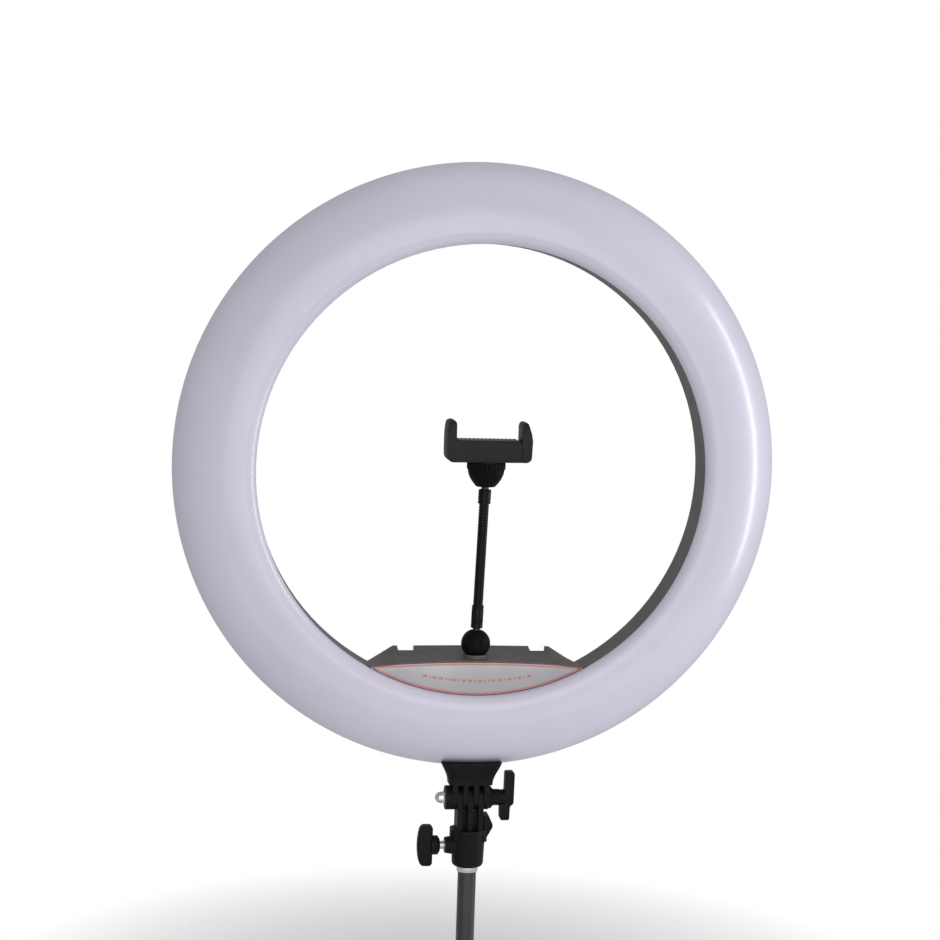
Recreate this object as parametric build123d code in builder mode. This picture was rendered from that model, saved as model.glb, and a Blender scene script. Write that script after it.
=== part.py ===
from build123d import *
import os
from math import cos, radians, sin, sqrt

os.makedirs("parts", exist_ok=True)

# ---------------------------------------------------------------- frame and driving sizes, in mm
# The origin is the cut lower end of the stand's top tube. Z is up, the light shines towards -Y.

TUBE_LENGTH = 112.0
TUBE_RADIUS = 7.0
TUBE_BORE_RADIUS = 5.8
END_PLUG_LENGTH = 12.0
END_PLUG_WALL = 1.6
END_PLUG_INSET = 0.2
END_PLUG_FLOOR = 3.0
PRESS_GAP = 0.02

RING_Z = 420.0
RING_OUTER_RADIUS = 228.5
RING_OPENING_RADIUS = 168.0
SEAM_Y = -20.0
CREST_RADIUS = 178.0
CREST_Y = -28.0
RIM_Y = 16.0
BACK_Y = 18.0
SHELL = 2.0

HINGE_Z = RING_Z - 251.0
KNUCKLE_RADIUS = 9.2
FINGER_THICKNESS = 3.8
FINGER_PITCH = 8.0
TILT_BOLT_RADIUS = 3.0
TILT_HOLE_RADIUS = 3.1

SOCKET_BOTTOM_Z = 116.0
SOCKET_TOP_Z = HINGE_Z - 24.0
SOCKET_RADIUS = 12.4
SPIGOT_RADIUS = 8.0
SPIGOT_WAIST_RADIUS = 6.5
SPIGOT_BORE_RADIUS = 8.05
SPIGOT_TOP_Z = 142.0
CLAMP_SCREW_Z = RING_Z - 288.0
CLAMP_SCREW_RADIUS = 3.0
THREAD_BORE_RADIUS = 3.05

BOX_FRONT_Y = -19.0
BOX_WALL_Y = -17.0
ARM_Y = -6.0
ARM_LEAN = 1.6
ARM_BASE_DROP = 131.0
ARM_LENGTH = 128.0
BASE_BALL_RADIUS = 6.5
TOP_BALL_RADIUS = 7.0
BALL_GAP = 0.05
NECK_RADIUS = 2.75
GOOSENECK_RADIUS = 3.75

JAW_THICKNESS = 6.8
CLAMP_LEFT = -31.0
CLAMP_BAR_RIGHT = 25.0
CLAMP_RIGHT = 33.0
CLAMP_BAR_BOTTOM = 7.0
CLAMP_BAR_TOP = 22.0
JAW_TIP = 38.0
CLAMP_DEPTH = 22.0

DIMMER_X = -34.0
COLOUR_X = 34.0
CONTROLS_DROP = 154.5
POT_SHAFT_RADIUS = 3.0

RING_SECTION = Plane((0, 0, RING_Z), x_dir=(1, 0, 0), z_dir=(0, 0, 1))
RING_AXIS = Axis((0, 0, RING_Z), (0, 1, 0))
BASE_BALL = Vector(0, ARM_Y, RING_Z - ARM_BASE_DROP)
ARM_DIRECTION = Vector(sin(radians(ARM_LEAN)), 0, cos(radians(ARM_LEAN)))
ARM = Plane(BASE_BALL, x_dir=(cos(radians(ARM_LEAN)), 0, -sin(radians(ARM_LEAN))), z_dir=ARM_DIRECTION)
TOP_BALL = BASE_BALL + ARM_DIRECTION * ARM_LENGTH
HOLDER = Plane(TOP_BALL)


def save(builder, name):
    """Name a finished piece and write its file."""
    builder.part.label = name
    export_step(builder.part, f"parts/{name}.step")


def facing(y):
    """Plane across the ring at depth y, with local x along X and local y up from the ring's centre."""
    return Plane((0, y, RING_Z), x_dir=(1, 0, 0), z_dir=(0, -1, 0))


def crosswise(x, y, z):
    """Plane square to X at a point, with local x along Y and local y along Z."""
    return Plane((x, y, z), x_dir=(0, 1, 0), z_dir=(1, 0, 0))


def crescent(arc_radius, tip_x, shoulder_x, shoulder_z, crown_z):
    """Face of the control box's outline: a low roof over the arc of the ring's opening."""
    tip_z = -sqrt(arc_radius**2 - tip_x**2)
    roof = [
        (-tip_x, tip_z),
        (-shoulder_x, shoulder_z),
        (0, crown_z),
        (shoulder_x, shoulder_z),
        (tip_x, tip_z),
    ]
    edges = [Edge.make_line(start, end) for start, end in zip(roof, roof[1:])]
    edges.append(Edge.make_three_point_arc((tip_x, tip_z), (0, -arc_radius), (-tip_x, tip_z)))
    return Face(Wire(edges))


# ---------------------------------------------------------------- top of the stand

with BuildPart() as stand_tube:
    with BuildSketch(Plane.XY):
        Circle(TUBE_RADIUS)
        Circle(TUBE_BORE_RADIUS, mode=Mode.SUBTRACT)
    extrude(amount=TUBE_LENGTH)
save(stand_tube, "stand_tube")

with BuildPart() as tube_end_plug:
    with BuildSketch(Plane.XY.offset(END_PLUG_INSET)):
        Circle(TUBE_BORE_RADIUS - PRESS_GAP)
    extrude(amount=END_PLUG_LENGTH)
    with BuildSketch(Plane.XY.offset(END_PLUG_FLOOR)):
        Circle(TUBE_BORE_RADIUS - END_PLUG_WALL)
    extrude(amount=END_PLUG_LENGTH, mode=Mode.SUBTRACT)
save(tube_end_plug, "tube_end_plug")

# The spigot's shank is pressed 18 mm into the tube; its waist takes the clamp screw.
SHANK_BOTTOM_Z = TUBE_LENGTH - 18.0
SHOULDER_Z = TUBE_LENGTH + 0.05
SHANK_RADIUS = TUBE_BORE_RADIUS - PRESS_GAP
WAIST_FROM = -8.0
WAIST_LOW = -5.5
WAIST_HIGH = 4.5
WAIST_TO = 6.5
TOP_CHAMFER = 1.0
with BuildPart() as stand_spigot:
    with BuildSketch(Plane.XZ):
        with BuildLine():
            Polyline(
                (0, SHANK_BOTTOM_Z),
                (SHANK_RADIUS, SHANK_BOTTOM_Z),
                (SHANK_RADIUS, SHOULDER_Z),
                (SPIGOT_RADIUS, SHOULDER_Z),
                (SPIGOT_RADIUS, CLAMP_SCREW_Z + WAIST_FROM),
                (SPIGOT_WAIST_RADIUS, CLAMP_SCREW_Z + WAIST_LOW),
                (SPIGOT_WAIST_RADIUS, CLAMP_SCREW_Z + WAIST_HIGH),
                (SPIGOT_RADIUS, CLAMP_SCREW_Z + WAIST_TO),
                (SPIGOT_RADIUS, SPIGOT_TOP_Z - TOP_CHAMFER),
                (SPIGOT_RADIUS - TOP_CHAMFER, SPIGOT_TOP_Z),
                (0, SPIGOT_TOP_Z),
                close=True,
            )
        make_face()
    revolve(axis=Axis.Z)
save(stand_spigot, "stand_spigot")

# ---------------------------------------------------------------- adapter: socket on the spigot

BOSS_TIP_X = -18.0
BOSS_ROOT_X = -10.0
BOSS_TIP_RADIUS = 6.0
BOSS_ROOT_RADIUS = 7.4
INSERT_RADIUS = 4.5
INSERT_LENGTH = 8.4
BLOCK_WIDTH = 27.8
BLOCK_HEIGHT = 9.0
BLOCK_CORNER = 6.0
SOCKET_FINGER_RADIUS = KNUCKLE_RADIUS - 0.4
FINGER_ROOT = 25.0
LUG_WIDTH = 13.0
SOCKET_DRAFT = 0.5
SOCKET_ROUNDING = 3.2
WEB_TOP_Z = HINGE_Z - KNUCKLE_RADIUS - 1.0
WEB_FOOT_Z = SOCKET_TOP_Z - 1.0
WEB_THICKNESS = 6.0
SOCKET_BORE_DEPTH = 27.0
LUG_PROFILE = [(11.0, -34.0), (17.6, -22.0), (17.6, -19.5), (14.6, -13.0), (11.0, -13.0)]
with BuildPart() as socket_body:
    with Locations((0, 0, SOCKET_BOTTOM_Z)):
        Cone(
            SOCKET_RADIUS - SOCKET_DRAFT,
            SOCKET_RADIUS + SOCKET_DRAFT,
            SOCKET_TOP_Z - SOCKET_BOTTOM_Z,
            align=(Align.CENTER, Align.CENTER, Align.MIN),
        )
    fillet(socket_body.faces().sort_by(Axis.Z)[0].edges(), SOCKET_ROUNDING)
    with BuildSketch(Plane.XY.offset(SOCKET_TOP_Z - BLOCK_HEIGHT)):
        RectangleRounded(BLOCK_WIDTH, 2 * KNUCKLE_RADIUS, BLOCK_CORNER)
    extrude(amount=BLOCK_HEIGHT)
    for index in (-1, 0, 1):
        finger_x = index * FINGER_PITCH
        with BuildSketch(crosswise(finger_x - FINGER_THICKNESS / 2, 0, HINGE_Z)):
            Circle(SOCKET_FINGER_RADIUS)
            with Locations((0, -FINGER_ROOT / 2)):
                Rectangle(2 * SOCKET_FINGER_RADIUS, FINGER_ROOT)
        extrude(amount=FINGER_THICKNESS)
    with BuildSketch(Plane.XY.offset(WEB_FOOT_Z)):
        Rectangle(2 * FINGER_PITCH, WEB_THICKNESS)
    extrude(amount=WEB_TOP_Z - WEB_FOOT_Z)
    with BuildSketch(Plane.XZ.offset(-LUG_WIDTH / 2)):
        with BuildLine():
            Polyline(*[(x, HINGE_Z + z) for x, z in LUG_PROFILE], close=True)
        make_face()
    extrude(amount=LUG_WIDTH)
    with BuildSketch(crosswise(BOSS_TIP_X, 0, CLAMP_SCREW_Z)):
        Circle(BOSS_TIP_RADIUS)
    with BuildSketch(crosswise(BOSS_ROOT_X, 0, CLAMP_SCREW_Z)):
        Circle(BOSS_ROOT_RADIUS)
    loft()
    with BuildSketch(Plane.XY.offset(SOCKET_BOTTOM_Z)):
        Circle(SPIGOT_BORE_RADIUS)
    extrude(amount=SOCKET_BORE_DEPTH, mode=Mode.SUBTRACT)
    with BuildSketch(crosswise(BOSS_TIP_X, 0, CLAMP_SCREW_Z)):
        Circle(INSERT_RADIUS)
    extrude(amount=INSERT_LENGTH + 0.4, mode=Mode.SUBTRACT)
    with BuildSketch(crosswise(BOSS_TIP_X, 0, CLAMP_SCREW_Z)):
        Circle(THREAD_BORE_RADIUS + 0.1)
    extrude(amount=-BOSS_TIP_X - SPIGOT_WAIST_RADIUS, mode=Mode.SUBTRACT)
    with BuildSketch(crosswise(-BLOCK_WIDTH / 2, 0, HINGE_Z)):
        Circle(TILT_HOLE_RADIUS)
    extrude(amount=BLOCK_WIDTH, mode=Mode.SUBTRACT)
save(socket_body, "socket_body")

with BuildPart() as clamp_screw_insert:
    with BuildSketch(crosswise(BOSS_TIP_X + 0.3, 0, CLAMP_SCREW_Z)):
        Circle(INSERT_RADIUS - PRESS_GAP)
        Circle(THREAD_BORE_RADIUS, mode=Mode.SUBTRACT)
    extrude(amount=INSERT_LENGTH)
save(clamp_screw_insert, "clamp_screw_insert")

# ---------------------------------------------------------------- clamp screw with wing knob

PAD_LENGTH = 2.0
PAD_RADIUS = 2.7
PAD_TIP_X = -SPIGOT_WAIST_RADIUS - 0.05
with BuildPart() as clamp_screw_pad:
    with BuildSketch(crosswise(PAD_TIP_X - PAD_LENGTH, 0, CLAMP_SCREW_Z)):
        Circle(PAD_RADIUS)
    extrude(amount=PAD_LENGTH)
save(clamp_screw_pad, "clamp_screw_pad")

SCREW_TIP_X = PAD_TIP_X - PAD_LENGTH - 0.05
WING_OUTER_X = -39.0
WING_INNER_X = -27.5
HUB_INNER_X = -23.6
SCREW_END_X = -34.0
WING_HALF_HEIGHT = 15.6
WING_THICKNESS = 8.4
WING_BOW = 2.6
WING_CORNER = 2.4
WING_HUB_RADIUS = 7.3
HUB_NOSE = 1.7
HUB_NOSE_RADIUS = 4.6
with BuildPart() as clamp_screw:
    with BuildSketch(crosswise(SCREW_END_X, 0, CLAMP_SCREW_Z)):
        Circle(CLAMP_SCREW_RADIUS)
    extrude(amount=SCREW_TIP_X - SCREW_END_X)
save(clamp_screw, "clamp_screw")

with BuildPart() as clamp_wing_knob:
    with BuildSketch(Plane.XZ.offset(-WING_THICKNESS / 2)):
        with BuildLine():
            Polyline(
                (WING_OUTER_X + WING_BOW, CLAMP_SCREW_Z + WING_HALF_HEIGHT),
                (WING_INNER_X, CLAMP_SCREW_Z + WING_HALF_HEIGHT),
                (WING_INNER_X, CLAMP_SCREW_Z - WING_HALF_HEIGHT),
                (WING_OUTER_X + WING_BOW, CLAMP_SCREW_Z - WING_HALF_HEIGHT),
            )
            ThreePointArc(
                (WING_OUTER_X + WING_BOW, CLAMP_SCREW_Z - WING_HALF_HEIGHT),
                (WING_OUTER_X, CLAMP_SCREW_Z),
                (WING_OUTER_X + WING_BOW, CLAMP_SCREW_Z + WING_HALF_HEIGHT),
            )
        make_face()
    extrude(amount=WING_THICKNESS)
    fillet(clamp_wing_knob.edges().filter_by(Axis.Y), WING_CORNER)
    with BuildSketch(crosswise(WING_INNER_X - 1.0, 0, CLAMP_SCREW_Z)):
        Circle(WING_HUB_RADIUS)
    extrude(amount=HUB_INNER_X - WING_INNER_X + 1.0)
    with BuildSketch(crosswise(HUB_INNER_X, 0, CLAMP_SCREW_Z)):
        Circle(WING_HUB_RADIUS)
    with BuildSketch(crosswise(HUB_INNER_X + HUB_NOSE, 0, CLAMP_SCREW_Z)):
        Circle(HUB_NOSE_RADIUS)
    loft()
    with BuildSketch(crosswise(SCREW_END_X, 0, CLAMP_SCREW_Z)):
        Circle(CLAMP_SCREW_RADIUS + PRESS_GAP)
    extrude(amount=HUB_INNER_X + HUB_NOSE - SCREW_END_X, mode=Mode.SUBTRACT)
save(clamp_wing_knob, "clamp_wing_knob")

# ---------------------------------------------------------------- foot of the head and its tilt bolt

FOOT_FINGERS = (-1.5, -0.5, 0.5, 1.5)
FOOT_RIGHT_X = 16.2
FOOT_LEFT_X = -18.8
NUT_POCKET_X = -15.4
TAB_HALF_WIDTH = 16.0
TAB_FRONT_Y = 0.0
TAB_BACK_Y = 8.0
TAB_TOP = -207.0
FOOT_SCREW_X = 9.0
FOOT_SCREW_SPOTS = [(-FOOT_SCREW_X, -213.5), (FOOT_SCREW_X, -213.5)]
FOOT_SCREW_RADIUS = 2.5
FOOT_BOSS_RADIUS = 8.5
LEFT_BOSS_LENGTH = 6.0
RIGHT_BOSS_LENGTH = 4.0
FINGER_REACH = 14.0
FOOT_GAP = 0.15
FOOT_CUT_RADIUS = RING_OUTER_RADIUS + FOOT_GAP
TAB_BOTTOM = -229.5
NUT_POCKET_RADIUS = 5.08
# Height over the hinge, width, depth and corner of the flare's sections.
FLARE_SECTIONS = [
    (11.2, 33.4, 18.4, 4.0),
    (16.5, 35.2, 20.0, 4.5),
    (21.0, 39.2, 23.0, 5.5),
    (28.5, 46.0, 27.0, 6.0),
]
with BuildPart() as tilt_foot:
    for step in FOOT_FINGERS:
        finger_x = step * FINGER_PITCH
        with BuildSketch(crosswise(finger_x - FINGER_THICKNESS / 2, 0, HINGE_Z)):
            Circle(KNUCKLE_RADIUS)
            with Locations((0, FINGER_REACH / 2)):
                Rectangle(2 * KNUCKLE_RADIUS, FINGER_REACH)
        extrude(amount=FINGER_THICKNESS)
    with BuildSketch(crosswise(FOOT_LEFT_X, 0, HINGE_Z)):
        Circle(KNUCKLE_RADIUS)
    extrude(amount=LEFT_BOSS_LENGTH)
    with BuildSketch(crosswise(FOOT_RIGHT_X - RIGHT_BOSS_LENGTH, 0, HINGE_Z)):
        Circle(FOOT_BOSS_RADIUS)
    extrude(amount=RIGHT_BOSS_LENGTH)
    for height, width, depth, corner in FLARE_SECTIONS:
        with BuildSketch(Plane.XY.offset(HINGE_Z + height)):
            RectangleRounded(width, depth, corner)
    loft()
    with BuildSketch(RING_SECTION):
        with BuildLine():
            Line((CREST_RADIUS, BACK_Y + 6.0), (FOOT_CUT_RADIUS, BACK_Y + 6.0))
            Line((FOOT_CUT_RADIUS, BACK_Y + 6.0), (FOOT_CUT_RADIUS, RIM_Y))
            EllipticalCenterArc(
                (CREST_RADIUS, RIM_Y),
                FOOT_CUT_RADIUS - CREST_RADIUS,
                RIM_Y - CREST_Y + FOOT_GAP,
                start_angle=270,
                arc_size=90,
            )
            Line((CREST_RADIUS, CREST_Y - FOOT_GAP), (CREST_RADIUS, BACK_Y + 6.0))
        make_face()
    revolve(axis=RING_AXIS, mode=Mode.SUBTRACT)
    with BuildSketch(facing(TAB_FRONT_Y)):
        with Locations((0, (TAB_TOP + TAB_BOTTOM) / 2)):
            Rectangle(2 * TAB_HALF_WIDTH, TAB_TOP - TAB_BOTTOM)
    extrude(amount=-(TAB_BACK_Y - TAB_FRONT_Y))
    with BuildSketch(facing(TAB_FRONT_Y)):
        with Locations(*FOOT_SCREW_SPOTS):
            Circle(FOOT_SCREW_RADIUS + PRESS_GAP)
    extrude(amount=-(TAB_BACK_Y - TAB_FRONT_Y), mode=Mode.SUBTRACT)
    with BuildSketch(crosswise(FOOT_LEFT_X, 0, HINGE_Z)):
        Circle(TILT_HOLE_RADIUS)
    extrude(amount=FOOT_RIGHT_X - FOOT_LEFT_X, mode=Mode.SUBTRACT)
    with BuildSketch(crosswise(FOOT_LEFT_X, 0, HINGE_Z)):
        RegularPolygon(NUT_POCKET_RADIUS, 6)
    extrude(amount=NUT_POCKET_X - FOOT_LEFT_X, mode=Mode.SUBTRACT)
save(tilt_foot, "tilt_foot")

HEXAGON_RADIUS = 5.0
HEXAGON_LEFT_X = -20.4
DOME_X = -22.4
DOME_RADIUS = 4.2
with BuildPart() as tilt_dome_nut:
    with BuildSketch(crosswise(HEXAGON_LEFT_X, 0, HINGE_Z)):
        RegularPolygon(HEXAGON_RADIUS, 6)
    extrude(amount=NUT_POCKET_X - 0.05 - HEXAGON_LEFT_X)
    with BuildSketch(crosswise(DOME_X, 0, HINGE_Z)):
        Circle(DOME_RADIUS + 0.1)
    extrude(amount=HEXAGON_LEFT_X - DOME_X + 0.2)
    with Locations((DOME_X + 0.1, 0, HINGE_Z)):
        Sphere(DOME_RADIUS)
    with BuildSketch(crosswise(DOME_X - 0.2, 0, HINGE_Z)):
        Circle(THREAD_BORE_RADIUS)
    extrude(amount=NUT_POCKET_X - DOME_X + 0.2, mode=Mode.SUBTRACT)
save(tilt_dome_nut, "tilt_dome_nut")

WASHER_X = FOOT_RIGHT_X + 0.05
WASHER_THICKNESS = 1.15
WASHER_RADIUS = 7.2
KNOB_FACE_X = WASHER_X + WASHER_THICKNESS + 0.05
with BuildPart() as tilt_washer:
    with BuildSketch(crosswise(WASHER_X, 0, HINGE_Z)):
        Circle(WASHER_RADIUS)
        Circle(TILT_HOLE_RADIUS, mode=Mode.SUBTRACT)
    extrude(amount=WASHER_THICKNESS)
save(tilt_washer, "tilt_washer")

TILT_BOLT_LEFT_X = -22.4
TILT_BOLT_RIGHT_X = 25.0
BOLT_HEAD_LENGTH = 4.0
with BuildPart() as tilt_bolt:
    with BuildSketch(crosswise(TILT_BOLT_LEFT_X, 0, HINGE_Z)):
        Circle(TILT_BOLT_RADIUS)
    extrude(amount=TILT_BOLT_RIGHT_X - TILT_BOLT_LEFT_X)
    with BuildSketch(crosswise(TILT_BOLT_RIGHT_X - BOLT_HEAD_LENGTH, 0, HINGE_Z)):
        RegularPolygon(HEXAGON_RADIUS, 6)
    extrude(amount=BOLT_HEAD_LENGTH)
save(tilt_bolt, "tilt_bolt")

# The T-knob's two wings are offset: the upper one stands further out than the lower one.
TEE_OUTLINE = [
    (26.6, -4.0),
    (26.8, 20.0),
    (33.8, 20.0),
    (33.6, -4.0),
    (30.9, -6.5),
    (30.7, -17.0),
    (23.4, -17.0),
    (23.2, -5.0),
]
TEE_THICKNESS = 10.0
TEE_CORNER = 0.9
TEE_HUB_RADIUS = 6.2
TEE_HUB_LENGTH = 11.0
HEAD_GAP = 0.03
with BuildPart() as tilt_knob:
    with BuildSketch(Plane.XZ.offset(-TEE_THICKNESS / 2)) as wing_outline:
        with BuildLine():
            Polyline(*[(x, HINGE_Z + z) for x, z in TEE_OUTLINE], close=True)
        make_face()
        fillet(wing_outline.vertices(), TEE_CORNER)
    extrude(amount=TEE_THICKNESS)
    with BuildSketch(crosswise(KNOB_FACE_X, 0, HINGE_Z)):
        Circle(TEE_HUB_RADIUS)
    extrude(amount=TEE_HUB_LENGTH)
    with BuildSketch(crosswise(KNOB_FACE_X, 0, HINGE_Z)):
        Circle(TILT_BOLT_RADIUS + PRESS_GAP)
    extrude(amount=TILT_BOLT_RIGHT_X - BOLT_HEAD_LENGTH - KNOB_FACE_X, mode=Mode.SUBTRACT)
    with BuildSketch(crosswise(TILT_BOLT_RIGHT_X - BOLT_HEAD_LENGTH - HEAD_GAP, 0, HINGE_Z)):
        RegularPolygon(HEXAGON_RADIUS + HEAD_GAP, 6)
    extrude(amount=BOLT_HEAD_LENGTH + 2 * HEAD_GAP, mode=Mode.SUBTRACT)
save(tilt_knob, "tilt_knob")

# ---------------------------------------------------------------- rear housing with control box

SCREW_CIRCLE = 219.0
STANDOFF_CIRCLE = 192.0
STANDOFF_FRONT_Y = 9.7
TONGUE_RADIUS = 172.4
LED_BOARD_Y = 8.0
LED_BOARD_THICKNESS = 1.6
BACK_ROUNDING = 8.0
BEND_Y = BACK_Y - BACK_ROUNDING
BACK_EDGE = RING_OPENING_RADIUS + BACK_ROUNDING
INNER_BEND = BACK_ROUNDING - SHELL
UPSTAND_RADIUS = 225.4
UPSTAND_FRONT_Y = 8.3
TONGUE_FRONT_Y = -24.0
TONGUE_WALL = 1.3
DIAGONAL = cos(radians(45))
EIGHTHS = [22.5 + 45.0 * step for step in range(8)]


def ring_spots(radius, angles):
    """Points on a circle round the ring's centre, for a plane facing along Y."""
    return [(radius * cos(radians(a)), radius * sin(radians(a))) for a in angles]


# Outlines of the control box, as (arc radius, tip x, shoulder x, shoulder z, crown z).
BOX_FRONT_OUTLINE = (169.0, 85.0, 60.0, -144.0, -142.0)
BOX_REAR_OUTLINE = (169.0, 79.0, 60.0, -137.5, -137.0)
BOX_FRONT_ROOM = (167.9, 80.0, 58.0, -146.2, -144.2)
BOX_REAR_ROOM = (167.9, 74.0, 56.0, -142.6, -141.6)
BACK_PLATE_OUTLINE = (178.0, 92.0, 70.0, -155.0, -154.0)
ARM_SEAT_RADIUS = 9.0
ARM_SEAT_TOP = -138.9
NOTCH_X = 50.5
NOTCH_Z = -136.6
NOTCH_WIDTH = 12.5
NOTCH_DEPTH = 9.0
NOTCH_FRONT_Y = 8.0
SWITCH_WINDOW = (15.2, 10.2)
INLET_X = -58.0
INLET_Z = -151.0
CONTROL_SPOTS = [(DIMMER_X, -CONTROLS_DROP), (COLOUR_X, -CONTROLS_DROP)]
VENT_SPOTS = [(46.0, -182.0), (52.0, -180.5), (58.0, -178.8), (64.0, -176.8)]
VENT_LENGTH = 14.0
VENT_WIDTH = 2.2
STANDOFF_RADIUS = 3.5
SMALL_SCREW_RADIUS = 1.25
SMALL_SCREW_HOLE = SMALL_SCREW_RADIUS + PRESS_GAP
SCREW_CLEARANCE = 1.7
FOOT_SPACER_RADIUS = 5.0
FOOT_SCREW_CLEARANCE = 2.7
ARM_STEM_HOLE = 4.1
with BuildPart() as rear_housing:
    with BuildSketch(RING_SECTION):
        with BuildLine():
            Polyline(
                (BACK_EDGE, BACK_Y),
                (RING_OUTER_RADIUS - 1.0, BACK_Y),
                (RING_OUTER_RADIUS - 0.2, BACK_Y - 0.8),
                (RING_OUTER_RADIUS - 0.2, RIM_Y + 0.1),
                (UPSTAND_RADIUS, RIM_Y + 0.1),
                (UPSTAND_RADIUS, UPSTAND_FRONT_Y),
                (UPSTAND_RADIUS - SHELL, UPSTAND_FRONT_Y),
                (UPSTAND_RADIUS - SHELL, BACK_Y - SHELL),
                (BACK_EDGE, BACK_Y - SHELL),
            )
            ThreePointArc(
                (BACK_EDGE, BACK_Y - SHELL),
                (BACK_EDGE - INNER_BEND * DIAGONAL, BEND_Y + INNER_BEND * DIAGONAL),
                (RING_OPENING_RADIUS + SHELL, BEND_Y),
            )
            Polyline(
                (RING_OPENING_RADIUS + SHELL, BEND_Y),
                (RING_OPENING_RADIUS + SHELL, -12.0),
                (TONGUE_RADIUS + TONGUE_WALL, -13.0),
                (TONGUE_RADIUS + TONGUE_WALL, TONGUE_FRONT_Y),
                (TONGUE_RADIUS, TONGUE_FRONT_Y),
                (TONGUE_RADIUS, SEAM_Y + 0.1),
                (RING_OPENING_RADIUS, SEAM_Y + 0.1),
                (RING_OPENING_RADIUS, BEND_Y),
            )
            ThreePointArc(
                (RING_OPENING_RADIUS, BEND_Y),
                (BACK_EDGE - BACK_ROUNDING * DIAGONAL, BEND_Y + BACK_ROUNDING * DIAGONAL),
                (BACK_EDGE, BACK_Y),
            )
        make_face()
    revolve(axis=RING_AXIS)
    with BuildSketch(facing(BOX_WALL_Y)):
        add(crescent(*BOX_FRONT_OUTLINE))
    with BuildSketch(facing(BACK_Y)):
        add(crescent(*BOX_REAR_OUTLINE))
    loft(ruled=True)
    with BuildSketch(facing(BACK_Y - SHELL)):
        add(crescent(*BACK_PLATE_OUTLINE))
    extrude(amount=-SHELL)
    with BuildSketch(Plane((0, ARM_Y, RING_Z + BOX_FRONT_OUTLINE[-1]))):
        Circle(ARM_SEAT_RADIUS)
    extrude(amount=ARM_SEAT_TOP - BOX_FRONT_OUTLINE[-1])
    with BuildSketch(facing(BOX_WALL_Y - 0.1)):
        add(crescent(*BOX_FRONT_ROOM))
    with BuildSketch(facing(BACK_Y - SHELL)):
        add(crescent(*BOX_REAR_ROOM))
    loft(ruled=True, mode=Mode.SUBTRACT)
    with BuildSketch(facing(NOTCH_FRONT_Y)):
        with Locations((-NOTCH_X, NOTCH_Z), (NOTCH_X, NOTCH_Z)):
            Rectangle(NOTCH_WIDTH, NOTCH_DEPTH)
    extrude(amount=-(BACK_Y - NOTCH_FRONT_Y), mode=Mode.SUBTRACT)
    with BuildSketch(facing(BACK_Y - SHELL)):
        with Locations(*CONTROL_SPOTS):
            Circle(3.7)
        with Locations((0, -CONTROLS_DROP)):
            Rectangle(*SWITCH_WINDOW)
        with Locations((INLET_X, INLET_Z)):
            Circle(3.6)
        for vent_x, vent_z in VENT_SPOTS:
            with Locations((vent_x, vent_z)):
                SlotCenterToCenter(VENT_LENGTH, VENT_WIDTH, rotation=72)
            with Locations((-vent_x, vent_z)):
                SlotCenterToCenter(VENT_LENGTH, VENT_WIDTH, rotation=108)
    extrude(amount=-SHELL, mode=Mode.SUBTRACT)
    with BuildSketch(facing(STANDOFF_FRONT_Y)):
        with Locations(*ring_spots(STANDOFF_CIRCLE, EIGHTHS)):
            Circle(STANDOFF_RADIUS)
    extrude(amount=-(BACK_Y - SHELL - STANDOFF_FRONT_Y + 0.5))
    with BuildSketch(facing(TAB_BACK_Y + 0.1)):
        with Locations(*FOOT_SCREW_SPOTS):
            Circle(FOOT_SPACER_RADIUS)
    extrude(amount=-(BACK_Y - TAB_BACK_Y - 1.0))
    with BuildSketch(facing(STANDOFF_FRONT_Y)):
        with Locations(*ring_spots(STANDOFF_CIRCLE, EIGHTHS)):
            Circle(SMALL_SCREW_HOLE)
    extrude(amount=-5.0, mode=Mode.SUBTRACT)
    with BuildSketch(facing(BACK_Y - SHELL)):
        with Locations(*ring_spots(SCREW_CIRCLE, EIGHTHS)):
            Circle(SCREW_CLEARANCE)
    extrude(amount=-SHELL, mode=Mode.SUBTRACT)
    with BuildSketch(facing(TAB_BACK_Y)):
        with Locations(*FOOT_SCREW_SPOTS):
            Circle(FOOT_SCREW_CLEARANCE)
    extrude(amount=-(BACK_Y - TAB_BACK_Y), mode=Mode.SUBTRACT)
    with BuildSketch(Plane((0, ARM_Y, RING_Z + ARM_SEAT_TOP))):
        Circle(ARM_STEM_HOLE)
    extrude(amount=-11.0, mode=Mode.SUBTRACT)
    with Locations((33.0, -3.0, RING_Z - 166.0)):
        Box(14.0, 9.0, 12.0, mode=Mode.SUBTRACT)
save(rear_housing, "rear_housing")

# ---------------------------------------------------------------- diffuser

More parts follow.
